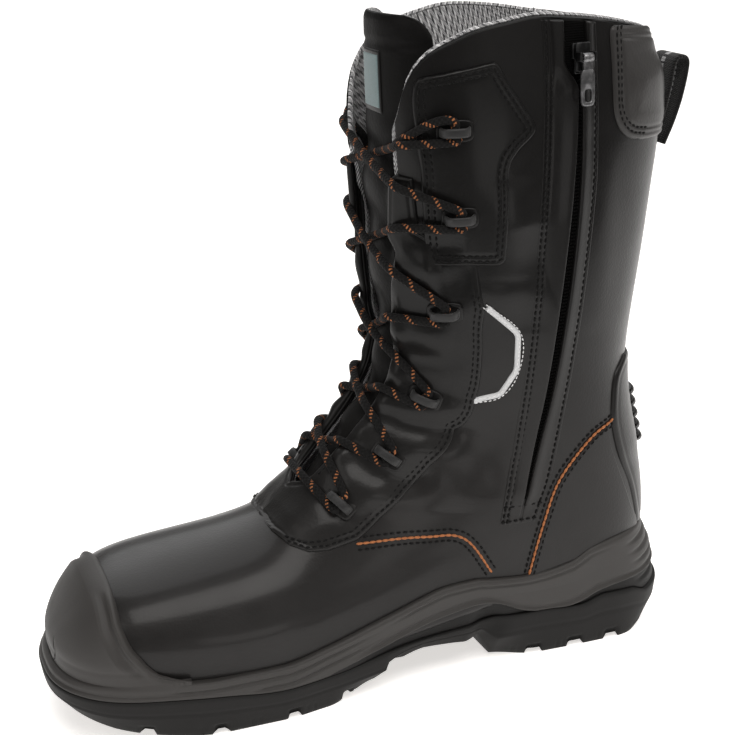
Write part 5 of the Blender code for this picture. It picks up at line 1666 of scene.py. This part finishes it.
class BOOT_OT_tongue(bpy.types.Operator):
    """Padded tongue with its folds and a bare label"""
    bl_idname = "boot.tongue"
    bl_label = "Tongue"

    def execute(self, context):
        rows = np.concatenate([np.linspace(5.7, 18.30, 150), [18.34, 18.38, 18.41, 18.435, 18.45]])
        limit = LAST.around_at(rows, eased(TONGUE_ROWS, rows))
        share = spread(60.0, 1.3) * 2.0 - 1.0
        around = limit[:, None] * share[None, :]
        along = np.repeat(rows[:, None], len(share), 1)
        spots = LAST.surface(along, around)
        border = np.vstack([spots[:, 0], spots[:, -1], spots[0], spots[-1]])
        reach = near(spots, border)
        sink = eased(TONGUE_ROWS, rows, 2)[:, None]
        z = spots[..., 2]
        beat = loop_number(rows)[:, None]
        swell = (
            1.4 + 1.6 * np.cos(2.0 * np.pi * beat)
        ) * smooth_step((z - 96.0) / 16.0) * smooth_step((262.0 - z) / 20.0)
        swell = swell * np.cos(share * np.pi / 2.0)[None, :] ** 0.7
        fold = np.abs(share)[None, :] * np.abs(spots[:, -1:, 1])
        pleat = 1.4 * line_groove(fold - 17.0, 2.6) - 1.6 * line_groove(fold - 21.5, 2.2)
        pleat = pleat * smooth_step((z - 110.0) / 25.0) * smooth_step((250.0 - z) / 30.0)
        top_seam = -0.6 * line_groove(spots[-1:, :, 2] - z - 12.0, 1.0)
        front = -sink - 2.0 + (2.0 + swell + pleat + top_seam) * dome(reach, 4.0)
        back = -sink - 2.0 - 1.7 * dome(reach, 3.0)
        stock = Stock()
        uv = surface_map(spots)
        stock.grid(LAST.point(along, around, front), False, 0, uv)
        stock.grid(LAST.point(along, around, back), True, 1, uv)
        tongue = settle(stock.piece("tongue_leather", finish("tongue"), finish("cloth")), "tongue", "tongue")

        stock = Stock()
        for skin, start, stop, left, right, thick in (
            (1, 16.46, 17.74, -11.6, 12.4, 0.8), (0, 16.56, 17.66, -10.0, 10.8, 1.1)
        ):
            place = np.linspace(start, stop, 60)
            width = np.linspace(left, right, 26)
            rows = np.repeat(place[:, None], 26, 1)
            shares = LAST.around_at(rows, np.abs(np.repeat(width[None, :], 60, 0))) * np.sign(width)[None, :]
            spots = LAST.surface(rows, shares)
            border = np.vstack([spots[:, 0], spots[:, -1], spots[0], spots[-1]])
            rise = dome(near(spots, border), 1.0)
            sink = eased(TONGUE_ROWS, place, 2)[:, None]
            stock.grid(LAST.point(rows, shares, -sink + thick * rise - 0.2), False, skin)
            stock.grid(LAST.point(rows, shares, np.repeat(-sink - 0.2, 26, 1)), True, skin)
        settle(stock.piece("tongue_label", finish("label"), finish("panel")), "tongue")
        return {"FINISHED"}


# Lacing

def loop_base(number):
    """Lift of a lace loop's foot: the upper ones stand on the eyestay."""
    return 2.45 if number >= 4 else 3.4


class BOOT_OT_lace_loops(bpy.types.Operator):
    """Satin bands that hold the lace, each sewn to a patch"""
    bl_idname = "boot.lace_loops"
    bl_label = "Lace loops"

    def execute(self, context):
        for side, label in SIDES:
            stock = Stock()
            for number, (x, z, slope) in enumerate(LOOP_ROWS):
                along, around, out, up, ahead = side_spot(x, z, side, slope)
                out, up, ahead = (np.array(v) for v in (out, up, ahead))
                base = LAST.point(along, around, loop_base(number))

                def put(a, u, o):
                    a, u, o = (np.asarray(v)[..., None] for v in (a, u, o))
                    return base + ahead * a + up * u + out * o

                turn = np.linspace(0.0, 2.0 * np.pi, 41)[:-1]
                plate = oval(turn, 8.0, 4.7, 0.5)
                rings = [put(plate[:, 0] * s, plate[:, 1] * s, np.full(40, o)) for s, o in LOOP_PLATE_ROWS]
                stock.grid(np.stack(rings), False, 1, wrap=True)
                stock.lid(rings[-1], True, 1)
                stock.lid(rings[0], False, 1)

                path = flowing(LOOP_ARCH_ROWS, 40)
                run = unit(np.gradient(path, axis=0))
                away = np.stack([-run[:, 1], run[:, 0]], 1)
                ring_u = np.array([-1.85, -2.0, -1.85, -1.0, 1.0, 1.85, 2.0, 1.85, 1.0, -1.0])
                ring_t = np.array([0.45, 0.0, -0.45, -0.6, -0.6, -0.45, 0.0, 0.45, 0.6, 0.6])
                a = path[:, 0:1] + away[:, 0:1] * ring_t[None, :]
                o = path[:, 1:2] + away[:, 1:2] * ring_t[None, :]
                band = put(a, np.repeat(ring_u[None, :], 40, 0), o)
                stock.grid(band, False, 0, wrap=True)
                stock.lid(band[0], True, 0)
                stock.lid(band[-1], False, 0)
            nodes = ["lace_loop_%s_%d" % (label, k + 1) for k in range(len(LOOP_ROWS))]
            settle(
                stock.piece("lace_loops_" + label, finish("satin"), finish("panel"), outwards=True),
                "lace_loop", *nodes
            )
        return {"FINISHED"}


def loop_mouth(number, side, reach):
    """Middle of a loop's tunnel, so far along it: section number, share round and lift."""
    x, z, slope = LOOP_ROWS[number]
    slope = math.radians(slope)
    along, around = LAST.locate(x + math.cos(slope) * reach, z + math.sin(slope) * reach)
    return float(along), float(around) * side, loop_base(number) + 2.35


def strand(start, stop, bulge):
    """Lace from mouth to mouth, over the facing's edges and straight across the throat."""
    share = np.linspace(0.0, 1.0, 401)
    along = start[0] + (stop[0] - start[0]) * share
    ends = [LAST.surface(end[0], end[1])[1] for end in (start, stop)]
    half_width = ends[0] + (ends[1] - ends[0]) * share
    inside = np.nonzero(np.abs(half_width) < eased(THROAT_ROWS, along))[0]
    turns = np.array([inside[0] // 2, inside[0], inside[-1], (inside[-1] + 400) // 2])
    around = LAST.around_at(along[turns], np.abs(half_width[turns])) * np.sign(half_width[turns])
    over = LAST.point(along[turns], around, np.full(4, LACE_OVER_EDGE))
    out = unit(LAST.normal(along[turns[1:3]], around[1:3]).sum(0))
    across = np.array([0.0, 0.26, 0.5, 0.74, 1.0])[:, None]
    straight = over[1] + (over[2] - over[1]) * across + out * bulge * np.sin(math.pi * across)
    return np.vstack([over[:1], straight, over[3:]])


class BOOT_OT_lace(bpy.types.Operator):
    """Braided lace through the loops, its ends tucked in at the top"""
    bl_idname = "boot.lace"
    bl_label = "Lace"

    def execute(self, context):
        stock = Stock()
        top = len(LOOP_ROWS) - 1
        reach = LOOP_WIDTH / 2.0
        for first in (1, -1):
            side = first
            bar = strand(loop_mouth(0, 1, -reach - 2.2), loop_mouth(0, -1, -reach - 2.2), 0.4)
            path = [bar[3::-1] if first > 0 else bar[3:]]
            for number in range(top):
                path.append(self.through(number, side, reach))
                over = (number % 2 == 0) == (first > 0)
                path.append(
                    strand(
                        loop_mouth(number, side, reach + 2.2), loop_mouth(number + 1, -side, -reach - 2.2),
                        2.2 if over else -2.0
                    )
                )
                side = -side
            path.append(self.through(top, side, reach))
            path.append(self.tuck(side))
            path = flowing(np.vstack(path), 1000)
            tube(stock, path, 0.5 * sizes().lace / MM, 12)
        nodes = ["lace_bar"] + ["lace_cross_%d" % (k + 1) for k in range(top)]
        settle(stock.piece("lace_cord", finish("lace")), "lace", *nodes)
        return {"FINISHED"}

    def through(self, number, side, reach):
        """Points in a loop's tunnel, from its lower mouth up."""
        spots = [loop_mouth(number, side, r) for r in (-reach - 1.4, -reach + 0.8, reach - 0.8, reach + 1.4)]
        return np.array([LAST.point(np.array(a), np.array(r), np.array(l)) for a, r, l in spots])

    def tuck(self, side):
        """From the top loop over the facing's edge and down behind it."""
        along, around, _ = loop_mouth(len(LOOP_ROWS) - 1, side, LOOP_WIDTH / 2.0)
        edge = float(throat_edge(np.array([along]))[0])
        rows = (
            (0.10, 0.85, 5.2), (0.04, 0.62, 4.9), (-0.12, 0.36, 4.6), (-0.30, 0.12, 4.0),
            (-0.46, -0.10, 1.5), (-0.60, -0.16, -2.5), (-0.80, -0.10, -5.5), (-1.05, 0.02, -6.4)
        )
        spots = []
        for step, share, rise in rows:
            place = edge + (abs(around) - edge) * share
            spots.append(LAST.point(np.array(along + step), np.array(place * side), np.array(rise)))
        return np.array(spots)


# Side zip

def line_at(rows, z):
    """Distance from the heel of a line that climbs the side, at a height."""
    return eased(np.array(rows)[:, ::-1], z)


def zip_lines(z):
    """Slit, its front and back edges and the outer borders of both flaps, at heights."""
    slit = line_at(ZIP_ROWS, z)
    open_middle = np.sin(np.clip((z - 84.0) / 190.0, 0.0, 1.0) * np.pi)
    front = slit + 0.4 + 1.2 * open_middle + 6.2 * smooth_step((z - 268.0) / 12.0)
    back = slit - 0.4 - 1.2 * open_middle - 3.4 * smooth_step((z - 266.0) / 16.0)
    front_border = line_at(ZIP_SEW_FRONT_ROWS, z) + 2.8
    back_border = np.minimum(line_at(ZIP_SEW_BACK_ROWS, z) - 2.8, back - 5.0)
    return slit, front, back, front_border, back_border


def zip_rise(z, x):
    """Heights on the zip stretched up to the collar's edge."""
    top = eased(COLLAR_ROWS, x) - 0.8
    return ZIP_FOOT + (z - ZIP_FOOT) / (ZIP_HEAD - ZIP_FOOT) * (top - ZIP_FOOT)


def zip_sewing(z):
    """Double rows of stitches on the front and back flap, at heights."""
    *_, front_border, back_border = zip_lines(z)
    return front_border - 1.8, front_border - 4.0, back_border + 1.8


def blocks(stock, base, axes, parts):
    """Bevelled blocks in a frame: centre, size and bevel of each, in millimetres."""
    for centre, size, bevel in parts:
        shape = bmesh.new()
        bmesh.ops.create_cube(shape, size=1.0)
        bmesh.ops.scale(shape, vec=Vector(size), verts=shape.verts)
        bmesh.ops.bevel(shape, geom=shape.edges[:], offset=bevel, segments=3, profile=0.5, affect="EDGES")
        shape.verts.ensure_lookup_table()
        local = np.array([vert.co for vert in shape.verts]) + np.array(centre)
        points = base + local @ axes
        for face in shape.faces:
            ring = [vert.index for vert in face.verts]
            ring = ring if len(ring) == 4 else (ring + ring[-1:])[:4]
            stock.faces.append(np.array([ring]) + stock.count)
            stock.skins.append(np.zeros(1, int))
        stock.points.append(points)
        stock.maps.append(np.zeros((len(points), 2)))
        stock.count += len(points)
        shape.free()


def set_path(name, lines):
    """Curve object through lines of points, for a node tree to work on."""
    curve = bpy.data.curves.new(name, "CURVE")
    curve.dimensions = "3D"
    for points in lines:
        points = (np.asarray(points) - np.array([HEEL_SETBACK, 0.0, 0.0])) * MM
        spline = curve.splines.new("POLY")
        spline.points.add(len(points) - 1)
        spline.points.foreach_set(
            "co", np.column_stack([points, np.ones(len(points))]).astype(np.float32).ravel()
        )
    made = bpy.data.objects.new(name, curve)
    bpy.context.scene.collection.objects.link(made)
    return made


def bead_tree():
    """Node tree that sets rounded beads along a path: stitches or zip teeth."""
    name = "beads_along_path"
    if name in bpy.data.node_groups:
        return bpy.data.node_groups[name]
    tree = bpy.data.node_groups.new(name, "GeometryNodeTree")
    face = tree.interface
    face.new_socket("Path", in_out="INPUT", socket_type="NodeSocketGeometry")
    for label in ("Pitch", "Length", "Width", "Height"):
        face.new_socket(label, in_out="INPUT", socket_type="NodeSocketFloat")
    face.new_socket("Finish", in_out="INPUT", socket_type="NodeSocketMaterial")
    face.new_socket("Beads", in_out="OUTPUT", socket_type="NodeSocketGeometry")
    nodes, links = tree.nodes, tree.links
    start = nodes.new("NodeGroupInput")
    end = nodes.new("NodeGroupOutput")
    spots = nodes.new("GeometryNodeCurveToPoints")
    spots.mode = "LENGTH"
    ball = nodes.new("GeometryNodeMeshUVSphere")
    ball.inputs["Segments"].default_value = 6
    ball.inputs["Rings"].default_value = 5
    ball.inputs["Radius"].default_value = 0.5
    size = nodes.new("ShaderNodeCombineXYZ")
    place = nodes.new("GeometryNodeInstanceOnPoints")
    real = nodes.new("GeometryNodeRealizeInstances")
    smooth = nodes.new("GeometryNodeSetShadeSmooth")
    paint = nodes.new("GeometryNodeSetMaterial")
    links.new(start.outputs["Path"], spots.inputs["Curve"])
    links.new(start.outputs["Pitch"], spots.inputs["Length"])
    links.new(start.outputs["Height"], size.inputs["X"])
    links.new(start.outputs["Width"], size.inputs["Y"])
    links.new(start.outputs["Length"], size.inputs["Z"])
    links.new(spots.outputs["Points"], place.inputs["Points"])
    links.new(spots.outputs["Rotation"], place.inputs["Rotation"])
    links.new(ball.outputs["Mesh"], place.inputs["Instance"])
    links.new(size.outputs["Vector"], place.inputs["Scale"])
    links.new(place.outputs["Instances"], real.inputs["Geometry"])
    links.new(real.outputs["Geometry"], smooth.inputs["Geometry"])
    links.new(smooth.outputs["Geometry"], paint.inputs["Geometry"])
    links.new(start.outputs["Finish"], paint.inputs["Material"])
    links.new(paint.outputs["Geometry"], end.inputs["Beads"])
    return tree


def beads(name, lines, pitch, length, width, height, surface):
    """Plain mesh of beads along lines."""
    path = set_path(name + "_path", lines)
    tree = bead_tree()
    modifier = path.modifiers.new("beads", "NODES")
    modifier.node_group = tree
    inputs = {item.name: item.identifier for item in tree.interface.items_tree if item.in_out == "INPUT"}
    for label, value in (
        ("Pitch", pitch), ("Length", length), ("Width", width), ("Height", height), ("Finish", surface)
    ):
        modifier[inputs[label]] = value
    bpy.context.view_layer.update()
    graph = bpy.context.evaluated_depsgraph_get()
    mesh = bpy.data.meshes.new_from_object(path.evaluated_get(graph))
    mesh.name = name
    curve = path.data
    path.modifiers.remove(modifier)
    bpy.data.objects.remove(path, do_unlink=True)
    bpy.data.curves.remove(curve)
    made = bpy.data.objects.new(name, mesh)
    bpy.context.scene.collection.objects.link(made)
    if not mesh.materials:
        mesh.materials.append(surface)
    return made


class BOOT_OT_zip(bpy.types.Operator):
    """Side zip: sewn flaps, tape, teeth, slider and hinged tab"""
    bl_idname = "boot.zip"
    bl_label = "Side zip"

    def execute(self, context):
        level = np.concatenate(
            [
                ZIP_FOOT + np.array([0.0, 0.2, 0.5, 0.9]), np.linspace(ZIP_FOOT + 1.4, ZIP_HEAD - 1.4, 150),
                ZIP_HEAD - np.array([0.9, 0.5, 0.2, 0.0])
            ]
        )
        slit, front, back, front_border, back_border = zip_lines(level)
        sewing = zip_sewing(level)
        share = spread(14.0, 0.6)[None, :]
        for name, ahead, behind, node, rise, reach_in in (
            ("zip_flap_front_leather", front_border, front, "zip_flap_front", 1.7, 6.5),
            ("zip_flap_back_leather", back, back_border, "zip_flap_back", 2.1, 4.8),
        ):
            x = ahead[:, None] * (1.0 - share) + behind[:, None] * share
            z = zip_rise(level[:, None], x)
            along, around = LAST.locate(x, z)
            spots = LAST.surface(along, around)
            edge = near(spots, spots[:, -1 if ahead is front_border else 0])
            top = 0.22 + rise * np.exp(-(edge / reach_in) ** 2) * smooth_step((z - ZIP_FOOT - 4.0) / 12.0)
            for line in sewing:
                top = top - 0.3 * line_groove(x - line[:, None], 0.7)
            stock = Stock()
            quilt(stock, along, around, 1, top, 1.0)
            settle(stock.piece(name, finish("leather")), "zip_flap", node)

        stock = Stock()
        level = level[10:-1]
        slit = slit[10:-1]
        x = slit[:, None] + np.linspace(8.8, -6.0, 18)[None, :]
        along, around = LAST.locate(x, zip_rise(level[:, None], x))
        quilt(stock, along, around, 1, 0.18, 0.8)
        settle(stock.piece("zip_tape", finish("tape")), "zip_teeth", "zip_chain")
        s = sizes()
        lines = []
        for offset, first in ((-0.7, 6), (0.7, 7)):
            lines.append(side_line(np.column_stack([slit + offset, level])[first:-12], 1, 0.35))
        teeth = beads("zip_teeth_row", lines, s.tooth_pitch, 0.0011, 0.0016, 0.0014, finish("teeth"))
        settle(teeth, "zip_teeth")
        self.slider()
        return {"FINISHED"}

    def slider(self):
        """Slider body with its bridge, and the tab on its pin."""
        along, around, out, up, ahead = side_spot(SLIDER_SPOT[0], SLIDER_SPOT[1], 1, 90.0)
        axes = np.array([ahead, up, out])
        base = LAST.surface(along, around)
        stock = Stock()
        blocks(stock, base, axes, (
            ((0.0, 2.6, 2.1), (7.8, 6.6, 1.5), 0.5),
            ((0.0, -3.2, 2.1), (5.8, 7.4, 1.5), 0.5),
            ((0.0, 0.2, 4.3), (7.0, 12.0, 1.5), 0.6),
            ((0.0, 3.6, 3.3), (1.6, 2.4, 2.4), 0.3),
            ((3.55, 0.4, 6.6), (1.0, 3.8, 4.6), 0.35),
            ((-3.55, 0.4, 6.6), (1.0, 3.8, 4.6), 0.35),
        ))
        pin = base + axes[2] * PIN_LIFT
        tube(stock, [pin + axes[0] * a for a in (-3.9, -2.0, 0.0, 2.0, 3.9)], 0.8, 14)
        settle(stock.piece("zip_slider_body", finish("slider"), outwards=True), "zip_metal", "zip_slider")

        def slab(outline, hole, half_thick, bevel):
            """Flat plate with a hole, its corners eased."""
            for ring, flip in ((outline, False), (hole, True)):
                lines = []
                for inset, level in (
                    (bevel, -half_thick), (0.0, -half_thick + bevel), (0.0, half_thick - bevel),
                    (bevel, half_thick)
                ):
                    mid = ring.mean(0)
                    size = np.abs(ring - mid).max(0)
                    scale = 1.0 - (inset if not flip else -inset) / size
                    flat = mid + (ring - mid) * scale
                    lines.append(pin + flat[:, 0:1] * axes[0] + flat[:, 1:2] * axes[1] + level * axes[2])
                tab.grid(np.stack(lines), flip, wrap=True)
                faces.append((lines[0], lines[-1]))
            tab.grid(np.stack([faces[-2][0], faces[-1][0]]), False, wrap=True)
            tab.grid(np.stack([faces[-2][1], faces[-1][1]]), True, wrap=True)

        tab, faces = Stock(), []
        turn = np.linspace(0.0, 2.0 * np.pi, 49)[:-1]

        slab(oval(turn, 3.3, 7.7, 0.42) + (0.0, -12.3), oval(turn, 1.7, 2.6, 0.5) + (0.0, -15.6), 0.85, 0.3)
        eye = []
        for radius, half in PULL_EYE_ROWS:
            spokes = [
                axes[1] * math.cos(a) + axes[2] * math.sin(a) for a in np.linspace(0.0, 2.0 * np.pi, 25)
            ]
            eye.append([pin + axes[0] * half + spoke * radius for spoke in spokes])
        tab.grid(np.array(eye), False)
        blocks(tab, pin, axes, (((0.0, -3.4, 0.0), (4.2, 4.0, 1.6), 0.35),))
        settle(
            tab.piece("zip_pull_tab", finish("metal"), outwards=True), "zip_metal", "zip_pull",
            body="pull_tab"
        )


class BOOT_OT_trim(bpy.types.Operator):
    """Bent reflective strips"""
    bl_idname = "boot.trim"
    bl_label = "Reflective strips"

    def execute(self, context):
        path = np.array(TRIM_ROWS, float)
        fine = []
        for a, b in zip(path, path[1:]):
            fine.append(a + (b - a) * np.linspace(0.0, 1.0, 24)[:-1, None])
        path = np.vstack(fine + [path[-1:]])
        kernel = np.ones(7) / 7.0
        eased_path = np.column_stack(
            [np.convolve(np.pad(path[:, k], 3, mode="edge"), kernel, "valid") for k in (0, 1)]
        )
        run = unit(np.gradient(eased_path, axis=0))
        left = np.stack([-run[:, 1], run[:, 0]], 1)
        share = spread(3.6, 0.6)[None, :, None] * 2.0 - 1.0
        edges = eased_path[:, None] + left[:, None] * share * 1.4
        along, around = LAST.locate(edges[..., 0], edges[..., 1])
        for side, label in SIDES:
            stock = Stock()
            quilt(stock, along, around, side, 0.9, 0.7)
            settle(
                stock.piece("reflective_strip_" + label, finish("trim"), outwards=True), "reflective",
                "trim_" + label
            )
        return {"FINISHED"}


# Sewing

def inset_outline(outline, inset):
    """Closed outline drawn so far inside itself, without the loops that leaves at corners."""
    ahead = np.roll(outline, -1, axis=0) - np.roll(outline, 1, axis=0)
    ahead /= np.maximum(np.linalg.norm(ahead, axis=1, keepdims=True), 1e-9)
    turning = np.cross(outline, np.roll(outline, -1, axis=0)).sum()
    inwards = np.stack([-ahead[:, 1], ahead[:, 0]], 1) * np.sign(turning)
    moved = outline + inwards * inset
    gap = np.sqrt(((moved[:, None] - outline[None]) ** 2).sum(2)).min(1)
    return moved[gap > inset - 0.12]


def panel_outline(rows):
    """Outline of a panel drawn in rows that cross it."""
    table = flowing(rows, 60)
    front, back = table[:, 0:2], table[:, 2:4]
    top = back[-1] + (front[-1] - back[-1]) * np.linspace(0.0, 1.0, 14)[1:-1, None]
    bottom = front[0] + (back[0] - front[0]) * np.linspace(0.0, 1.0, 14)[1:-1, None]
    ring = np.vstack([front[::-1], bottom, back, top])
    closed = np.vstack([ring, ring[:1]])
    run = lengths(closed)
    at = np.arange(0.0, run[-1], 0.8)
    return np.stack([np.interp(at, run, closed[:, k]) for k in (0, 1)], 1)


def beside(path, offset):
    """Line beside a line, seen from the side."""
    run = unit(np.gradient(path, axis=0))
    return path + np.stack([run[:, 1], -run[:, 0]], 1) * offset


class BOOT_OT_stitching(bpy.types.Operator):
    """Black double rows, orange corded seams and fine strip stitches"""
    bl_idname = "boot.stitching"
    bl_label = "Stitching"

    def execute(self, context):
        s = sizes()
        black, orange, fine = [], [], []
        along, around, rows = facing_grid()
        for side, _ in SIDES:
            for inset in (2.2, 4.4):
                line = inset_outline(panel_outline(EYESTAY_ROWS), inset)
                line = np.vstack([line, line[:1]])
                at, turn = LAST.locate(line[:, 0], line[:, 1])
                black.append(LAST.point(at, turn * side, eyestay_top(at, turn) - 0.1))
            spots = LAST.surface(along, around)
            for inset in (2.2, 4.6):
                stop = around[:, -1] - inset / np.maximum(
                    np.linalg.norm(spots[:, -1] - spots[:, -2], axis=1), 1e-6
                ) * (around[:, -1] - around[:, -2])
                keep = (rows > 5.72) & (rows < 13.4)
                black.append(
                    LAST.point(
                        rows[keep], stop[keep] * side,
                        facing_lift(LAST.surface(rows[keep], stop[keep])) - facing_edge(inset) - 0.15
                    )
                )
            keep = (rows > 7.2) & (rows < 13.5)
            edge = throat_edge(rows[keep], -2.2)
            black.append(LAST.point(rows[keep], edge * side, np.full(keep.sum(), 2.7)))
            vamp = flowing(VAMP_SEAM_ROWS, 120)
            counter = flowing(COUNTER_SEAM_ROWS, 160)
            orange.append(side_line(vamp, side, 0.35))
            orange.append(side_line(counter, side, 0.5))
            for offset in (2.6, -2.6):
                black.append(side_line(beside(vamp, offset), side, 0.2))
            black.append(side_line(beside(counter, 2.3)[4:], side, 0.9))
            black.append(side_line(beside(counter, -2.3), side, 0.2))
            strip = flowing(np.array(TRIM_ROWS), 80)
            fine.append(side_line(beside(strip, 0.9), side, 0.92))
            fine.append(side_line(beside(strip, -0.9), side, 0.92))
        level = np.linspace(ZIP_FOOT + 2.0, ZIP_HEAD - 1.0, 200)
        for line in zip_sewing(level):
            black.append(side_line(np.column_stack([line, zip_rise(level, line)]), 1, 0.2))
        for z in (ZIP_FOOT + 2.0, ZIP_FOOT + 9.0):
            ends = [line[0] for line in zip_sewing(np.array([z]))]
            black.append(
                side_line(np.column_stack([np.linspace(ends[0], ends[2], 20), np.full(20, z)]), 1, 0.4)
            )
        pad = flowing(PAD_ROWS, 80)
        for side in (1, -1):
            for inset in (3.0, 5.4):
                rows_at, shares = LAST.locate(
                    pad[:, 0] - inset * np.linspace(0.4, 1.0, 80),
                    pad[:, 1] + inset * np.linspace(1.0, 0.0, 80)
                )
                black.append(LAST.point(rows_at[:-4], shares[:-4] * side, 1.5))
        thread = beads(
            "black_stitches", black, s.stitch_pitch, s.stitch, s.thread, s.thread, finish("thread")
        )
        settle(thread, "leather")
        cord = beads("orange_seams", orange, 0.0030, 0.0033, s.seam_thread, s.seam_thread, finish("orange"))
        settle(cord, "leather")
        dots = beads("strip_stitches", fine, 0.0021, 0.0015, 0.0005, 0.0005, finish("pale"))
        settle(dots, "reflective")
        return {"FINISHED"}


# Stage

class BOOT_OT_stage(bpy.types.Operator):
    """Pale floor lit by its own painted glow, soft studio light and the camera of the product shot"""
    bl_idname = "boot.stage"
    bl_label = "Stage"

    def execute(self, context):
        self.camera(context)
        size = 12.0
        mesh = bpy.data.meshes.new("floor")
        mesh.from_pydata(
            [(-size, -size, 0.0), (size, -size, 0.0), (size, size, 0.0), (-size, size, 0.0)], [],
            [(0, 1, 2, 3)]
        )
        # Painted light: the floor glows by its own emission, which pales its shadows and lights the boot from
        # below. Towards the camera it turns near black and stops glowing, so the leather reflects dark there.
        made = Finish("glowing_floor", Specular_IOR_Level=0.2, Emission_Strength=0.65)
        grain = made.noise(made.place(), 40.0, 3.0)
        front = made.axis(made.place(), 1).ramp(0.38, 0.58)
        pale = made.mix(grain, scaled(colours().floor, 0.985), scaled(colours().floor, 1.01))
        made.set(
            Base_Color=made.mix(front, pale, scaled(colours().floor, 0.03)),
            Emission_Color=made.mix(front, WARM_WHITE, (0.0, 0.0, 0.0)),
            Roughness=0.55 + 0.1 * grain,
        )
        mesh.materials.append(made.material)
        floor = bpy.data.objects.new("floor", mesh)
        context.scene.collection.objects.link(floor)

        world = bpy.data.worlds.new("studio")
        world.use_nodes = True
        world.node_tree.nodes["Background"].inputs["Color"].default_value = (*WARM_WHITE, 1.0)
        world.node_tree.nodes["Background"].inputs["Strength"].default_value = 0.16
        context.scene.world = world
        sun = bpy.data.lights.new("backdrop", "SUN")
        sun.energy, sun.angle = 1.9, math.radians(70.0)
        high = bpy.data.objects.new("backdrop", sun)
        high.rotation_euler = Vector((0.20, 0.75, -1.0)).to_track_quat("-Z", "Y").to_euler()
        context.scene.collection.objects.link(high)
        for name, spot, aim, wide, tall, power in (
            ("front_high", (0.10, 0.60, 1.12), (0.10, 0.0, 0.10), 1.00, 0.60, 8.2),
            ("front_low", (-0.375, 1.40, 0.50), (0.05, 0.0, 0.12), 0.80, 0.90, 1.0),
            ("low_card", (0.03, 0.64, 0.11), (0.08, 0.0, 0.08), 0.20, 0.14, 0.15),
            ("toe_side", (1.15, 0.55, 0.70), (0.14, 0.0, 0.06), 0.80, 0.80, 2.6),
            ("heel_side", (-0.66, 0.18, 0.62), (-0.52, 0.12, 0.0), 0.60, 0.60, 2.0),
        ):
            light = bpy.data.lights.new(name, "AREA")
            light.shape = "RECTANGLE"
            light.size, light.size_y = wide, tall
            light.energy, light.color = power, WARM_WHITE
            lamp = bpy.data.objects.new(name, light)
            lamp.location = spot
            lamp.rotation_euler = (Vector(aim) - Vector(spot)).to_track_quat("-Z", "Y").to_euler()
            context.scene.collection.objects.link(lamp)
        context.scene.view_settings.view_transform = "Standard"
        return {"FINISHED"}

    def camera(self, context):
        """Camera at the product shot's angle."""
        turn, rise, roll = (math.radians(a) for a in (SHOT_TURN, SHOT_RISE, SHOT_ROLL))
        back = Vector((math.sin(turn) * math.cos(rise), math.cos(turn) * math.cos(rise), math.sin(rise)))
        right = (-back).cross(Vector((0.0, 0.0, 1.0))).normalized()
        up = right.cross(-back)
        across = right * math.cos(roll) + up * math.sin(roll)
        upward = up * math.cos(roll) - right * math.sin(roll)
        aim = Vector((SHOT_AIM[0] - HEEL_SETBACK, SHOT_AIM[1], SHOT_AIM[2])) * MM
        data = bpy.data.cameras.new("product_shot")
        data.sensor_width = 36.0
        data.lens = 36.0 * SHOT_FOCUS / SHOT_PIXELS
        data.clip_start, data.clip_end = 0.01, 60.0
        camera = bpy.data.objects.new("product_shot", data)
        camera.matrix_world = Matrix.Translation(
            aim + back * SHOT_DISTANCE * MM
        ) @ Matrix((across, upward, back)).transposed().to_4x4()
        context.scene.collection.objects.link(camera)
        context.scene.camera = camera


class BOOT_PT_pieces(bpy.types.Panel):
    """Pieces of the boot, with their sizes and colours"""
    bl_idname = "BOOT_PT_pieces"
    bl_label = "Safety boot"
    bl_space_type = "VIEW_3D"
    bl_region_type = "UI"
    bl_category = "Boot"

    def draw(self, context):
        for maker in MAKERS:
            self.layout.operator(maker.bl_idname)
        for group in (context.scene.boot_sizes, context.scene.boot_colours):
            for name in group.__annotations__:
                self.layout.prop(group, name)


MAKERS = (
    BOOT_OT_stage, BOOT_OT_lace, BOOT_OT_upper, BOOT_OT_lining, BOOT_OT_outsole, BOOT_OT_midsole,
    BOOT_OT_toe_cap,
    BOOT_OT_tongue, BOOT_OT_facing, BOOT_OT_side_panels, BOOT_OT_back_pieces, BOOT_OT_lace_loops,
    BOOT_OT_zip, BOOT_OT_trim, BOOT_OT_stitching,
)
CLASSES = (BootSizes, BootColours) + MAKERS + (BOOT_PT_pieces,)


def register():
    for item in CLASSES:
        bpy.utils.register_class(item)
    bpy.types.Scene.boot_sizes = bpy.props.PointerProperty(type=BootSizes)
    bpy.types.Scene.boot_colours = bpy.props.PointerProperty(type=BootColours)


def unregister():
    del bpy.types.Scene.boot_colours
    del bpy.types.Scene.boot_sizes
    for item in reversed(CLASSES):
        bpy.utils.unregister_class(item)


def main():
    register()
    for maker in MAKERS:
        group, name = maker.bl_idname.split(".")
        getattr(getattr(bpy.ops, group), name)()


if __name__ == "__main__":
    main()
